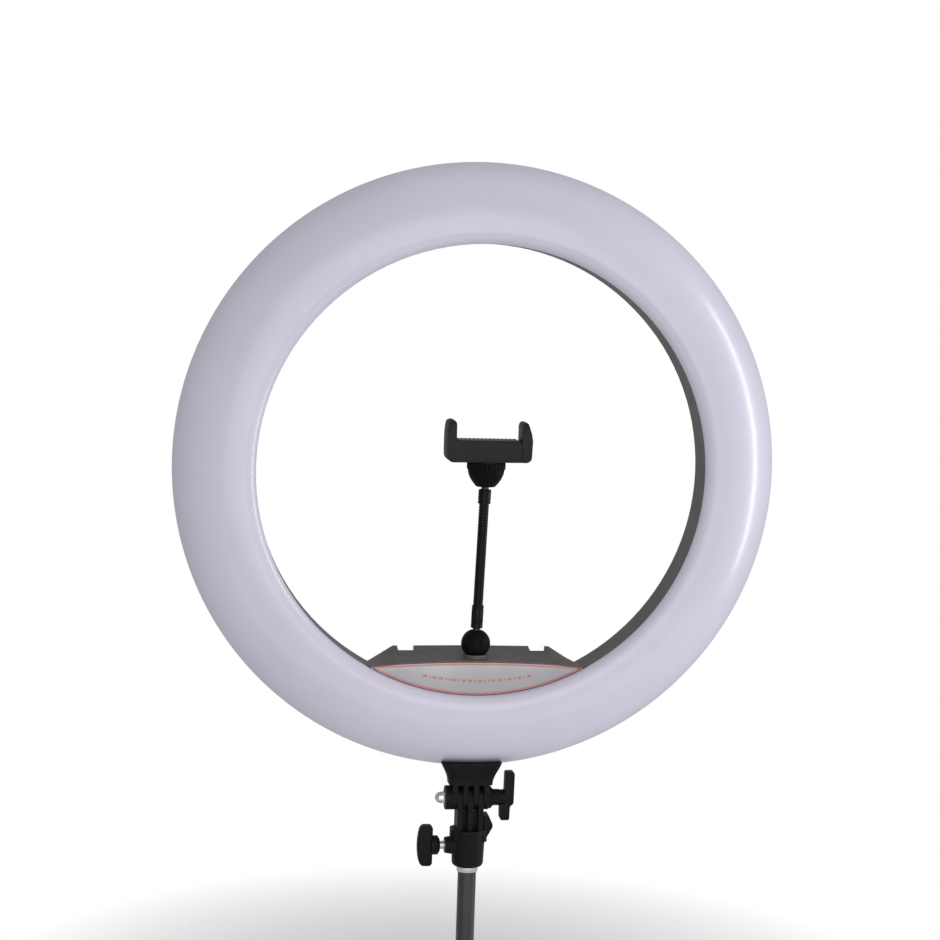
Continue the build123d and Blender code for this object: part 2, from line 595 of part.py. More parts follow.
BOSS_RADIUS = 3.4
BOSS_FRONT_Y = -3.5
TAB_WINDOW_GAP = 0.3
with BuildPart() as diffuser:
    with BuildSketch(RING_SECTION):
        with BuildLine():
            Line((RING_OPENING_RADIUS + SHELL, SEAM_Y), (RING_OPENING_RADIUS, SEAM_Y))
            EllipticalCenterArc(
                (CREST_RADIUS, SEAM_Y),
                CREST_RADIUS - RING_OPENING_RADIUS,
                SEAM_Y - CREST_Y,
                start_angle=180,
                arc_size=90,
            )
            EllipticalCenterArc(
                (CREST_RADIUS, RIM_Y),
                RING_OUTER_RADIUS - CREST_RADIUS,
                RIM_Y - CREST_Y,
                start_angle=270,
                arc_size=90,
            )
            Line((RING_OUTER_RADIUS, RIM_Y), (RING_OUTER_RADIUS - SHELL, RIM_Y))
            EllipticalCenterArc(
                (CREST_RADIUS, RIM_Y),
                RING_OUTER_RADIUS - SHELL - CREST_RADIUS,
                RIM_Y - CREST_Y - SHELL,
                start_angle=270,
                arc_size=90,
            )
            EllipticalCenterArc(
                (CREST_RADIUS, SEAM_Y),
                CREST_RADIUS - RING_OPENING_RADIUS - SHELL,
                SEAM_Y - CREST_Y - SHELL,
                start_angle=180,
                arc_size=90,
            )
        make_face()
    revolve(axis=RING_AXIS)
    with BuildSketch(facing(BOSS_FRONT_Y)):
        with Locations(*ring_spots(SCREW_CIRCLE, EIGHTHS)):
            Circle(BOSS_RADIUS)
    extrude(amount=-(BACK_Y - SHELL - 0.1 - BOSS_FRONT_Y))
    with BuildSketch(facing(0.0)):
        with Locations(*ring_spots(SCREW_CIRCLE, EIGHTHS)):
            Circle(SMALL_SCREW_HOLE)
    extrude(amount=-BACK_Y, mode=Mode.SUBTRACT)
    with BuildSketch(facing(TAB_FRONT_Y - TAB_WINDOW_GAP)):
        with Locations((0, -222.0)):
            Rectangle(2 * (TAB_HALF_WIDTH + TAB_WINDOW_GAP), 20.0)
    extrude(amount=-(TAB_BACK_Y - TAB_FRONT_Y + 0.5), mode=Mode.SUBTRACT)
save(diffuser, "diffuser")

SCREW_TIP_Y = 4.0
SCREW_HEAD_RADIUS = 2.9
SCREW_HEAD_HEIGHT = 1.8
with BuildPart() as housing_screws:
    with BuildSketch(facing(SCREW_TIP_Y)):
        with Locations(*ring_spots(SCREW_CIRCLE, EIGHTHS)):
            Circle(SMALL_SCREW_RADIUS)
    extrude(amount=-(BACK_Y - SCREW_TIP_Y + 0.5))
    with BuildSketch(facing(BACK_Y + 0.05)):
        with Locations(*ring_spots(SCREW_CIRCLE, EIGHTHS)):
            Circle(SCREW_HEAD_RADIUS)
    extrude(amount=-SCREW_HEAD_HEIGHT)
save(housing_screws, "housing_screws")

FOOT_SCREW_TIP_Y = 1.0
FOOT_HEAD_RADIUS = 4.6
FOOT_HEAD_HEIGHT = 2.6
with BuildPart() as foot_screws:
    with BuildSketch(facing(FOOT_SCREW_TIP_Y)):
        with Locations(*FOOT_SCREW_SPOTS):
            Circle(FOOT_SCREW_RADIUS)
    extrude(amount=-(BACK_Y - FOOT_SCREW_TIP_Y + 0.5))
    with BuildSketch(facing(BACK_Y + 0.05)):
        with Locations(*FOOT_SCREW_SPOTS):
            Circle(FOOT_HEAD_RADIUS)
    extrude(amount=-FOOT_HEAD_HEIGHT)
save(foot_screws, "foot_screws")

# ---------------------------------------------------------------- light engine

BOARD_INNER_RADIUS = 178.0
BOARD_OUTER_RADIUS = 206.0
BOARD_ARC = 89.0
QUARTERS = {"right": 0.0, "upper": 90.0, "left": 180.0, "lower": 270.0}
for quarter, middle in QUARTERS.items():
    start = middle - BOARD_ARC / 2
    with BuildPart() as led_board:
        with BuildSketch(facing(LED_BOARD_Y)):
            with BuildLine():
                outer_arc = CenterArc((0, 0), BOARD_OUTER_RADIUS, start, BOARD_ARC)
                inner_arc = CenterArc((0, 0), BOARD_INNER_RADIUS, start, BOARD_ARC)
                Line(outer_arc @ 0, inner_arc @ 0)
                Line(outer_arc @ 1, inner_arc @ 1)
            make_face()
            with Locations(*ring_spots(STANDOFF_CIRCLE, [middle - 22.5, middle + 22.5])):
                Circle(SCREW_CLEARANCE, mode=Mode.SUBTRACT)
        extrude(amount=-LED_BOARD_THICKNESS)
    save(led_board, f"led_board_{quarter}")

LEDS_PER_ROW = 96
LED_STEP = 360.0 / LEDS_PER_ROW
LED_ROWS = (184.5, 199.5)
LED_HEIGHT = 0.8
LED_WIDTH = 2.8
LED_LENGTH = 3.5
for colour, offset in (("cool", 0), ("warm", 1)):
    with BuildPart() as leds:
        with BuildSketch(facing(LED_BOARD_Y - LED_HEIGHT - 0.02)):
            for row, row_radius in enumerate(LED_ROWS):
                for count in range((offset + row) % 2, LEDS_PER_ROW, 2):
                    angle = (count + 0.5) * LED_STEP
                    spot = ring_spots(row_radius, [angle])[0]
                    with Locations(Location((spot[0], spot[1]), angle)):
                        Rectangle(LED_WIDTH, LED_LENGTH)
        extrude(amount=-LED_HEIGHT)
    save(leds, f"{colour}_leds")

BOARD_SCREW_LENGTH = 5.5
BOARD_SCREW_HEAD = 1.4
with BuildPart() as led_board_screws:
    with BuildSketch(facing(LED_BOARD_Y - 0.05)):
        with Locations(*ring_spots(STANDOFF_CIRCLE, EIGHTHS)):
            Circle(SMALL_SCREW_RADIUS)
    extrude(amount=-BOARD_SCREW_LENGTH)
    with BuildSketch(facing(LED_BOARD_Y - 0.05 - BOARD_SCREW_HEAD)):
        with Locations(*ring_spots(STANDOFF_CIRCLE, EIGHTHS)):
            Circle(2.6)
    extrude(amount=-BOARD_SCREW_HEAD)
save(led_board_screws, "led_board_screws")

# ---------------------------------------------------------------- control box: covers and electronics

COVER_OUTLINE = (167.8, 83.6, 60.0, -144.0, -142.0)
LABEL_OUTLINE = (167.6, 80.4, 58.0, -144.9, -143.3)
LABEL_THICKNESS = 0.6
CONTROL_BOARD_OUTLINE = (164.0, 70.0, 54.0, -147.0, -145.6)
with BuildPart() as control_box_front:
    with BuildSketch(facing(BOX_FRONT_Y)):
        add(crescent(*COVER_OUTLINE))
    extrude(amount=-(BOX_WALL_Y - BOX_FRONT_Y - 0.1))
save(control_box_front, "control_box_front")

with BuildPart() as label_plate:
    with BuildSketch(facing(BOX_FRONT_Y - LABEL_THICKNESS - 0.05)):
        add(crescent(*LABEL_OUTLINE))
    extrude(amount=-LABEL_THICKNESS)
save(label_plate, "label_plate")

BOARD_FRONT_Y = 2.0
BOARD_BACK_Y = 3.6
with BuildPart() as control_board:
    with BuildSketch(facing(BOARD_FRONT_Y)):
        add(crescent(*CONTROL_BOARD_OUTLINE))
    extrude(amount=-(BOARD_BACK_Y - BOARD_FRONT_Y))
save(control_board, "control_board")

POT_BODY_DEPTH = 7.6
POT_BODY_RADIUS = 7.6
POT_NOSE_RADIUS = 3.5
SHAFT_REACH = 8.0
KNOB_GAP = 0.4
KNOB_RADIUS = 8.2
KNOB_HEIGHT = 11.0
KNOB_BORE_DEPTH = 8.0
POINTER_WIDTH = 1.2
POINTER_LENGTH = 4.4
for control, control_x in (("dimmer", DIMMER_X), ("colour", COLOUR_X)):
    with BuildPart() as potentiometer:
        with BuildSketch(facing(BOARD_BACK_Y + 0.05)):
            with Locations((control_x, -CONTROLS_DROP)):
                Circle(POT_BODY_RADIUS)
        extrude(amount=-POT_BODY_DEPTH)
        with BuildSketch(facing(BOARD_BACK_Y + POT_BODY_DEPTH)):
            with Locations((control_x, -CONTROLS_DROP)):
                Circle(POT_NOSE_RADIUS)
        extrude(amount=-(BACK_Y - BOARD_BACK_Y - POT_BODY_DEPTH - 0.2))
        with BuildSketch(facing(BOARD_BACK_Y + 2.0)):
            with Locations((control_x, -CONTROLS_DROP)):
                Circle(POT_SHAFT_RADIUS + 0.05)
        extrude(amount=-BACK_Y, mode=Mode.SUBTRACT)
    save(potentiometer, f"{control}_potentiometer")

    with BuildPart() as pot_shaft:
        with BuildSketch(facing(BOARD_BACK_Y + 2.2)):
            with Locations((control_x, -CONTROLS_DROP)):
                Circle(POT_SHAFT_RADIUS)
        extrude(amount=-(BACK_Y + SHAFT_REACH - BOARD_BACK_Y - 2.2))
    save(pot_shaft, f"{control}_shaft")

    with BuildPart() as rear_knob:
        with BuildSketch(facing(BACK_Y + KNOB_GAP)):
            with Locations((control_x, -CONTROLS_DROP)):
                Circle(KNOB_RADIUS)
        extrude(amount=-KNOB_HEIGHT, taper=3)
        with BuildSketch(facing(BACK_Y + KNOB_GAP)):
            with Locations((control_x, -CONTROLS_DROP)):
                Circle(POT_SHAFT_RADIUS + PRESS_GAP)
        extrude(amount=-KNOB_BORE_DEPTH, mode=Mode.SUBTRACT)
        with BuildSketch(facing(BACK_Y + KNOB_GAP + KNOB_HEIGHT)):
            with Locations((control_x, -CONTROLS_DROP + 5.0)):
                Rectangle(POINTER_WIDTH, POINTER_LENGTH)
        extrude(amount=0.7, mode=Mode.SUBTRACT)
    save(rear_knob, f"{control}_knob")

SWITCH_SPOT = (0, -CONTROLS_DROP)
SWITCH_BODY = (14.8, 9.8)
SWITCH_ROOM = (12.4, 8.0)
SWITCH_ROOM_DEPTH = 7.0
BEZEL = (18.0, 13.0)
BEZEL_THICKNESS = 1.5
ROCKER_Y = BACK_Y - 1.0
ROCKER_WIDTH = 11.8
PIVOT_RADIUS = 0.8
PIVOT_SPAN = 13.8
PIVOT_GAP = 0.05
with BuildPart() as power_switch_body:
    with BuildSketch(facing(BOARD_BACK_Y + 0.05)):
        with Locations(SWITCH_SPOT):
            Rectangle(*SWITCH_BODY)
    extrude(amount=-(BACK_Y - BOARD_BACK_Y))
    with BuildSketch(facing(BACK_Y + 0.05)):
        with Locations(SWITCH_SPOT):
            RectangleRounded(*BEZEL, 1.2)
    extrude(amount=-BEZEL_THICKNESS)
    with BuildSketch(facing(BACK_Y - SWITCH_ROOM_DEPTH)):
        with Locations(SWITCH_SPOT):
            Rectangle(*SWITCH_ROOM)
    extrude(amount=-SWITCH_ROOM_DEPTH - BEZEL_THICKNESS - 0.1, mode=Mode.SUBTRACT)
    with BuildSketch(crosswise(-PIVOT_SPAN / 2 - 0.1, ROCKER_Y, RING_Z - CONTROLS_DROP)):
        Circle(PIVOT_RADIUS + PIVOT_GAP)
    extrude(amount=PIVOT_SPAN + 0.2, mode=Mode.SUBTRACT)
save(power_switch_body, "power_switch_body")

# The rocker is a shallow V seen from its end, and swings on two small pins at the middle of the V.
ROCKER_OUTLINE = [(-3.0, -2.0), (2.2, -3.5), (4.2, -3.2), (2.8, 0.0), (4.2, 3.2), (2.2, 3.5), (-3.0, 2.0)]
with BuildPart() as power_rocker:
    with BuildSketch(crosswise(-ROCKER_WIDTH / 2, ROCKER_Y, RING_Z - CONTROLS_DROP)):
        with BuildLine():
            Polyline(*ROCKER_OUTLINE, close=True)
        make_face()
    extrude(amount=ROCKER_WIDTH)
    with BuildSketch(crosswise(-PIVOT_SPAN / 2, ROCKER_Y, RING_Z - CONTROLS_DROP)):
        Circle(PIVOT_RADIUS)
    extrude(amount=PIVOT_SPAN)
save(power_rocker, "power_rocker")

INLET_BORE_RADIUS = 2.8
INLET_PIN_RADIUS = 1.0
INLET_DEPTH = 9.5
with BuildPart() as dc_inlet:
    with BuildSketch(facing(BOARD_BACK_Y + 0.05)):
        with Locations((INLET_X, INLET_Z)):
            Rectangle(8.6, 8.4)
    extrude(amount=-(BACK_Y - SHELL - BOARD_BACK_Y - 0.15))
    with BuildSketch(facing(BACK_Y - SHELL - 0.2)):
        with Locations((INLET_X, INLET_Z)):
            Circle(3.5)
    extrude(amount=-SHELL)
    with BuildSketch(facing(BACK_Y - INLET_DEPTH)):
        with Locations((INLET_X, INLET_Z)):
            Circle(INLET_BORE_RADIUS)
            Circle(INLET_PIN_RADIUS, mode=Mode.SUBTRACT)
    extrude(amount=-INLET_DEPTH, mode=Mode.SUBTRACT)
save(dc_inlet, "dc_inlet")

CAPACITOR_HEIGHT = 10.0
INDUCTOR_HEIGHT = 5.0
CHIP_HEIGHT = 1.6
with BuildPart() as board_capacitors:
    with BuildSketch(facing(BOARD_FRONT_Y - CAPACITOR_HEIGHT - 0.05)):
        with Locations((-42.0, -153.5), (-29.0, -155.5)):
            Circle(4.0)
    extrude(amount=-CAPACITOR_HEIGHT)
save(board_capacitors, "board_capacitors")

with BuildPart() as board_inductors:
    with BuildSketch(facing(BOARD_FRONT_Y - INDUCTOR_HEIGHT - 0.05)):
        with Locations((-14.0, -156.0), (14.0, -156.0)):
            RectangleRounded(11.0, 11.0, 2.0)
    extrude(amount=-INDUCTOR_HEIGHT)
save(board_inductors, "board_inductors")

with BuildPart() as driver_chips:
    with BuildSketch(facing(BOARD_FRONT_Y - CHIP_HEIGHT - 0.05)):
        with Locations((0.0, -157.5), (46.0, -152.5)):
            Rectangle(5.0, 6.2)
    extrude(amount=-CHIP_HEIGHT)
save(driver_chips, "driver_chips")

# Each lead runs from the control board down to the back of the lowest light board.
LEAD_RADIUS = 0.75
LEAD_TOP = RING_Z - 157.5
LEAD_FOOT = RING_Z - 178.8
LEAD_RUN_Y = -3.5
LEAD_BEND = 2.0
with BuildPart() as led_leads:
    for lead_x in (29.0, 33.0, 37.0):
        with BuildLine():
            lead_path = FilletPolyline(
                (lead_x, BOARD_FRONT_Y - 0.1, LEAD_TOP),
                (lead_x, LEAD_RUN_Y, LEAD_TOP),
                (lead_x, LEAD_RUN_Y, LEAD_FOOT),
                (lead_x, LED_BOARD_Y - 0.1, LEAD_FOOT),
                radius=LEAD_BEND,
            )
        with BuildSketch(Plane(lead_path @ 0, z_dir=lead_path % 0)):
            Circle(LEAD_RADIUS)
        sweep(path=lead_path)
save(led_leads, "led_leads")

# ---------------------------------------------------------------- arm of the phone holder

SEAT_Z = RING_Z + ARM_SEAT_TOP + 0.1
HOUSING_RADIUS = 11.0
STEM_RADIUS = 4.0
STEM_LENGTH = 10.4
with BuildPart() as arm_base_housing:
    with Locations(Location(BASE_BALL)):
        Sphere(HOUSING_RADIUS)
    with Locations((0, ARM_Y, SEAT_Z)):
        Box(40, 40, 20, align=(Align.CENTER, Align.CENTER, Align.MAX), mode=Mode.SUBTRACT)
    with Locations((0, ARM_Y, SEAT_Z - STEM_LENGTH)):
        Cylinder(STEM_RADIUS, STEM_LENGTH + 0.1, align=(Align.CENTER, Align.CENTER, Align.MIN))
    with Locations(Location(BASE_BALL)):
        Sphere(BASE_BALL_RADIUS + BALL_GAP, mode=Mode.SUBTRACT)
    with Locations((0, ARM_Y, BASE_BALL.Z + 3.0)):
        Cone(3.4, 6.6, 9.0, align=(Align.CENTER, Align.CENTER, Align.MIN), mode=Mode.SUBTRACT)
save(arm_base_housing, "arm_base_housing")

with BuildPart() as arm_base_nut:
    with BuildSketch(Plane((0, ARM_Y, RING_Z - 148.6))):
        RegularPolygon(6.9, 6)
        Circle(STEM_RADIUS + 0.05, mode=Mode.SUBTRACT)
    extrude(amount=4.0)
save(arm_base_nut, "arm_base_nut")

LOWER_NECK_LENGTH = 19.5
LOWER_SLEEVE = (11.9, 29.0)
UPPER_SLEEVE = (106.0, 116.8)
GOOSENECK_SPAN = (20.2, 112.0)
NECK_BORE = NECK_RADIUS + 0.03
COIL_BORE = GOOSENECK_RADIUS + 0.03
LOWER_SLEEVE_RADIUS = 4.5
UPPER_SLEEVE_RADIUS = 4.75
SLEEVE_STEP = 20.0
with BuildPart() as arm_ball_stud:
    with Locations(Location(BASE_BALL)):
        Sphere(BASE_BALL_RADIUS)
    with BuildSketch(ARM):
        Circle(NECK_RADIUS)
    extrude(amount=LOWER_NECK_LENGTH)
save(arm_ball_stud, "arm_ball_stud")

with BuildPart() as lower_sleeve:
    with BuildSketch(ARM.offset(LOWER_SLEEVE[0])):
        Circle(LOWER_SLEEVE_RADIUS)
        Circle(NECK_BORE, mode=Mode.SUBTRACT)
    extrude(amount=SLEEVE_STEP - LOWER_SLEEVE[0])
    with BuildSketch(ARM.offset(SLEEVE_STEP)):
        Circle(LOWER_SLEEVE_RADIUS)
        Circle(COIL_BORE, mode=Mode.SUBTRACT)
    extrude(amount=LOWER_SLEEVE[1] - SLEEVE_STEP)
save(lower_sleeve, "lower_sleeve")

RIDGE_PITCH = 2.0
RIDGE_DEPTH = 0.35
GROOVE_HALF_WIDTH = 0.5
with BuildPart() as gooseneck:
    with BuildSketch(Plane(BASE_BALL, x_dir=ARM.x_dir, z_dir=(0, -1, 0))):
        ridge_points = [(0, GOOSENECK_SPAN[0]), (GOOSENECK_RADIUS, GOOSENECK_SPAN[0])]
        ridge_count = int((GOOSENECK_SPAN[1] - GOOSENECK_SPAN[0]) / RIDGE_PITCH)
        for count in range(1, ridge_count):
            height = GOOSENECK_SPAN[0] + count * RIDGE_PITCH
            ridge_points.append((GOOSENECK_RADIUS, height - GROOVE_HALF_WIDTH))
            ridge_points.append((GOOSENECK_RADIUS - RIDGE_DEPTH, height))
            ridge_points.append((GOOSENECK_RADIUS, height + GROOVE_HALF_WIDTH))
        ridge_points += [(GOOSENECK_RADIUS, GOOSENECK_SPAN[1]), (0, GOOSENECK_SPAN[1])]
        with BuildLine():
            Polyline(*ridge_points, close=True)
        make_face()
    revolve(axis=Axis(BASE_BALL, ARM_DIRECTION))
save(gooseneck, "gooseneck")

COIL_POCKET = 6.2
with BuildPart() as upper_sleeve:
    with BuildSketch(ARM.offset(UPPER_SLEEVE[0])):
        Circle(UPPER_SLEEVE_RADIUS)
        Circle(COIL_BORE, mode=Mode.SUBTRACT)
    extrude(amount=COIL_POCKET)
    with BuildSketch(ARM.offset(UPPER_SLEEVE[0] + COIL_POCKET)):
        Circle(UPPER_SLEEVE_RADIUS)
        Circle(NECK_BORE, mode=Mode.SUBTRACT)
    extrude(amount=UPPER_SLEEVE[1] - UPPER_SLEEVE[0] - COIL_POCKET)
save(upper_sleeve, "upper_sleeve")

UPPER_NECK_START = 112.4
with BuildPart() as holder_ball_stud:
    with Locations(Location(TOP_BALL)):
        Sphere(TOP_BALL_RADIUS)
    with BuildSketch(ARM.offset(UPPER_NECK_START)):
        Circle(NECK_RADIUS)
    extrude(amount=ARM_LENGTH - UPPER_NECK_START)
save(holder_ball_stud, "holder_ball_stud")

# ---------------------------------------------------------------- phone clamp

HOLDER_SECTION = Plane(TOP_BALL, x_dir=(1, 0, 0), z_dir=(0, -1, 0))
HOLDER_AXIS = Axis(TOP_BALL, (0, 0, 1))
COLLAR_RADIUS = 10.8
NUT_BORE_RADIUS = COLLAR_RADIUS + 0.3
NUT_TOP = 9.0
NUT_RADIUS = 14.5
NUT_LIP = 4.0
NUT_MOUTH_RADIUS = 7.8
FLUTES = 24
FLUTE_RADIUS = 1.0
with BuildPart() as ball_lock_nut:
    with BuildSketch(HOLDER_SECTION):
        with BuildLine():
            Polyline(
                (NUT_BORE_RADIUS, NUT_TOP),
                (NUT_RADIUS, NUT_TOP),
                (NUT_RADIUS, NUT_LIP),
                (13.6, 3.6),
            )
            ThreePointArc((13.6, 3.6), (12.2, -3.6), (NUT_MOUTH_RADIUS, -NUT_TOP))
            Polyline(
                (NUT_MOUTH_RADIUS, -NUT_TOP),
                (6.5, -NUT_TOP),
                (6.5, -7.2),
                (8.0, -5.9),
                (NUT_BORE_RADIUS, -0.8),
                (NUT_BORE_RADIUS, NUT_TOP),
            )
        make_face()
    revolve(axis=HOLDER_AXIS)
    with Locations(HOLDER.offset(NUT_LIP - 0.1)):
        with PolarLocations(NUT_RADIUS + 0.6, FLUTES):
            Cylinder(FLUTE_RADIUS, 5.2, align=(Align.CENTER, Align.CENTER, Align.MIN), mode=Mode.SUBTRACT)
save(ball_lock_nut, "ball_lock_nut")

BAR_FLOOR = CLAMP_BAR_BOTTOM + RING_Z - TOP_BALL.Z
BAR_ROOF = CLAMP_BAR_TOP + RING_Z - TOP_BALL.Z
TIP_HEIGHT = JAW_TIP + RING_Z - TOP_BALL.Z
HOOK = 1.2
FIXED_TIP_BEVEL = 1.4
SLIDING_TIP_BEVEL = 0.8
JAW_BACK_LEAN = 4.6
JAW_BACK_DROP = 3.0
JAW_INNER_X = CLAMP_LEFT + JAW_THICKNESS
CHANNEL_FLOOR = BAR_FLOOR + 2.6
CHANNEL_ROOF = BAR_ROOF - 2.4
CHANNEL_MIDDLE = (CHANNEL_FLOOR + CHANNEL_ROOF) / 2
FIXED_PAD_Z = TOP_BALL.Z + BAR_ROOF + 6.8
SLIDING_PAD_Z = TOP_BALL.Z + BAR_ROOF + 6.2
CHANNEL_DEPTH = 17.0
PAD_THICKNESS = 1.5
PAD_INSET = 1.0
PAD_WIDTH = 15.8
POCKET_WIDTH = 16.0
FOOT_ROUNDING = 3.6
TIP_ROUNDING = 0.8
CHANNEL_LEFT = -23.0
COLLAR_FOOT = -4.4
with BuildPart() as clamp_base:
    with BuildSketch(HOLDER_SECTION.offset(-CLAMP_DEPTH / 2)) as base_outline:
        with BuildLine():
            Polyline(
                (CLAMP_LEFT + 0.8, BAR_FLOOR),
                (CLAMP_BAR_RIGHT, BAR_FLOOR),
                (CLAMP_BAR_RIGHT, BAR_ROOF),
                (JAW_INNER_X, BAR_ROOF),
                (JAW_INNER_X, TIP_HEIGHT - 4.5),
                (JAW_INNER_X + HOOK, TIP_HEIGHT - 2.2),
                (JAW_INNER_X + HOOK - FIXED_TIP_BEVEL, TIP_HEIGHT),
                (CLAMP_LEFT + 3.4, TIP_HEIGHT),
            )
            ThreePointArc(
                (CLAMP_LEFT + 3.4, TIP_HEIGHT),
                (CLAMP_LEFT, (BAR_FLOOR + TIP_HEIGHT) / 2),
                (CLAMP_LEFT + 0.8, BAR_FLOOR),
            )
        make_face()
        fillet(sorted(base_outline.vertices(), key=lambda v: v.X + v.Y)[0], FOOT_ROUNDING)
        fillet(sorted(base_outline.vertices(), key=lambda v: v.Y - v.X)[-1], TIP_ROUNDING)
    extrude(amount=CLAMP_DEPTH)
    with Locations(HOLDER.offset(COLLAR_FOOT)):
        Cylinder(COLLAR_RADIUS, BAR_FLOOR - COLLAR_FOOT, align=(Align.CENTER, Align.CENTER, Align.MIN))
    with BuildSketch(HOLDER_SECTION):
        with BuildLine():
            Polyline(
                (7.6, -4.5),
                (COLLAR_RADIUS + 1.0, 0.6),
                (COLLAR_RADIUS + 1.0, -6.0),
                (7.6, -6.0),
                close=True,
            )
        make_face()
    revolve(axis=HOLDER_AXIS, mode=Mode.SUBTRACT)
    with Locations(Location(TOP_BALL)):
        Sphere(TOP_BALL_RADIUS + BALL_GAP, mode=Mode.SUBTRACT)
    with Locations(HOLDER.offset(-7.0)):
        Cylinder(5.4, 6.0, align=(Align.CENTER, Align.CENTER, Align.MIN), mode=Mode.SUBTRACT)
    with BuildSketch(crosswise(TOP_BALL.X + CHANNEL_LEFT, ARM_Y, TOP_BALL.Z + CHANNEL_MIDDLE)):
        Rectangle(CHANNEL_DEPTH, CHANNEL_ROOF - CHANNEL_FLOOR)
    extrude(amount=CLAMP_BAR_RIGHT - CHANNEL_LEFT, mode=Mode.SUBTRACT)
    with BuildSketch(crosswise(TOP_BALL.X + JAW_INNER_X - PAD_INSET, ARM_Y, FIXED_PAD_Z)):
        Rectangle(POCKET_WIDTH, 8.4)
    extrude(amount=PAD_INSET, mode=Mode.SUBTRACT)
save(clamp_base, "clamp_base")

with BuildPart() as fixed_jaw_pad:
    with BuildSketch(crosswise(TOP_BALL.X + JAW_INNER_X - PAD_INSET + 0.05, ARM_Y, FIXED_PAD_Z)):
        Rectangle(PAD_WIDTH, 8.2)
    extrude(amount=PAD_THICKNESS)
save(fixed_jaw_pad, "fixed_jaw_pad")

with BuildPart() as shelf_pad:
    with BuildSketch(Plane(TOP_BALL).offset(BAR_ROOF + 0.05)):
        with Locations((0.4, 0)):
            RectangleRounded(46.0, 17.0, 2.0)
    extrude(amount=1.2)
save(shelf_pad, "shelf_pad")

TONGUE_GAP = 0.2
TONGUE_LEFT = -19.5
SPRING_ROOM_Z = 6.4
SPRING_ROOM_DEPTH = 9.0
SPRING_ROOM_LENGTH = 41.0
JAW_FACE_X = CLAMP_BAR_RIGHT + 0.3
with BuildPart() as sliding_jaw:
    with BuildSketch(HOLDER_SECTION.offset(-CLAMP_DEPTH / 2)) as jaw_outline:
        with BuildLine():
            Polyline(
                (CLAMP_RIGHT - 0.8, BAR_FLOOR),
                (JAW_FACE_X, BAR_FLOOR),
                (JAW_FACE_X, TIP_HEIGHT - 5.5),
                (JAW_FACE_X - HOOK, TIP_HEIGHT - 3.2),
                (JAW_FACE_X - HOOK + SLIDING_TIP_BEVEL, TIP_HEIGHT - 1.0),
                (CLAMP_RIGHT - JAW_BACK_LEAN, TIP_HEIGHT - 1.0),
            )
            ThreePointArc(
                (CLAMP_RIGHT - JAW_BACK_LEAN, TIP_HEIGHT - 1.0),
                (CLAMP_RIGHT, (BAR_FLOOR + TIP_HEIGHT) / 2 - JAW_BACK_DROP),
                (CLAMP_RIGHT - 0.8, BAR_FLOOR),
            )
        make_face()
        fillet(sorted(jaw_outline.vertices(), key=lambda v: v.Y - v.X)[0], FOOT_ROUNDING)
        fillet(sorted(jaw_outline.vertices(), key=lambda v: v.X + v.Y)[-1], TIP_ROUNDING)
    extrude(amount=CLAMP_DEPTH)
    with BuildSketch(crosswise(TOP_BALL.X + TONGUE_LEFT, ARM_Y, TOP_BALL.Z + CHANNEL_MIDDLE)):
        Rectangle(CHANNEL_DEPTH - 2 * TONGUE_GAP, CHANNEL_ROOF - CHANNEL_FLOOR - 2 * TONGUE_GAP)
    extrude(amount=JAW_FACE_X - TONGUE_LEFT + 1.0)
    with BuildSketch(crosswise(TOP_BALL.X + TONGUE_LEFT, ARM_Y, TOP_BALL.Z + CHANNEL_MIDDLE)):
        Rectangle(SPRING_ROOM_DEPTH, SPRING_ROOM_Z)
    extrude(amount=SPRING_ROOM_LENGTH, mode=Mode.SUBTRACT)
    with BuildSketch(crosswise(TOP_BALL.X + JAW_FACE_X, ARM_Y, SLIDING_PAD_Z)):
        Rectangle(POCKET_WIDTH, 8.0)
    extrude(amount=PAD_INSET, mode=Mode.SUBTRACT)
save(sliding_jaw, "sliding_jaw")

with BuildPart() as sliding_jaw_pad:
    with BuildSketch(crosswise(TOP_BALL.X + JAW_FACE_X - 0.5, ARM_Y, SLIDING_PAD_Z)):
        Rectangle(PAD_WIDTH, 7.8)
    extrude(amount=PAD_THICKNESS - 0.05)
save(sliding_jaw_pad, "sliding_jaw_pad")

SPRING_LEFT = -18.0
SPRING_RIGHT = 20.0
SPRING_PITCH = 2.375
SPRING_RADIUS = 2.3
SPRING_WIRE_RADIUS = 0.4
with BuildPart() as clamp_spring:
    with BuildLine():
        coil = Helix(
            pitch=SPRING_PITCH,
            height=SPRING_RIGHT - SPRING_LEFT,
            radius=SPRING_RADIUS,
            center=(TOP_BALL.X + SPRING_LEFT, ARM_Y, TOP_BALL.Z + CHANNEL_MIDDLE),
            direction=(1, 0, 0),
        )
    with BuildSketch(Plane(coil @ 0, z_dir=coil % 0)):
        Circle(SPRING_WIRE_RADIUS)
    sweep(path=coil)
save(clamp_spring, "clamp_spring")
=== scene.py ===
import bpy
import bmesh
from math import atan2, cos, pi, radians, sin, sqrt
from mathutils import Matrix, Vector


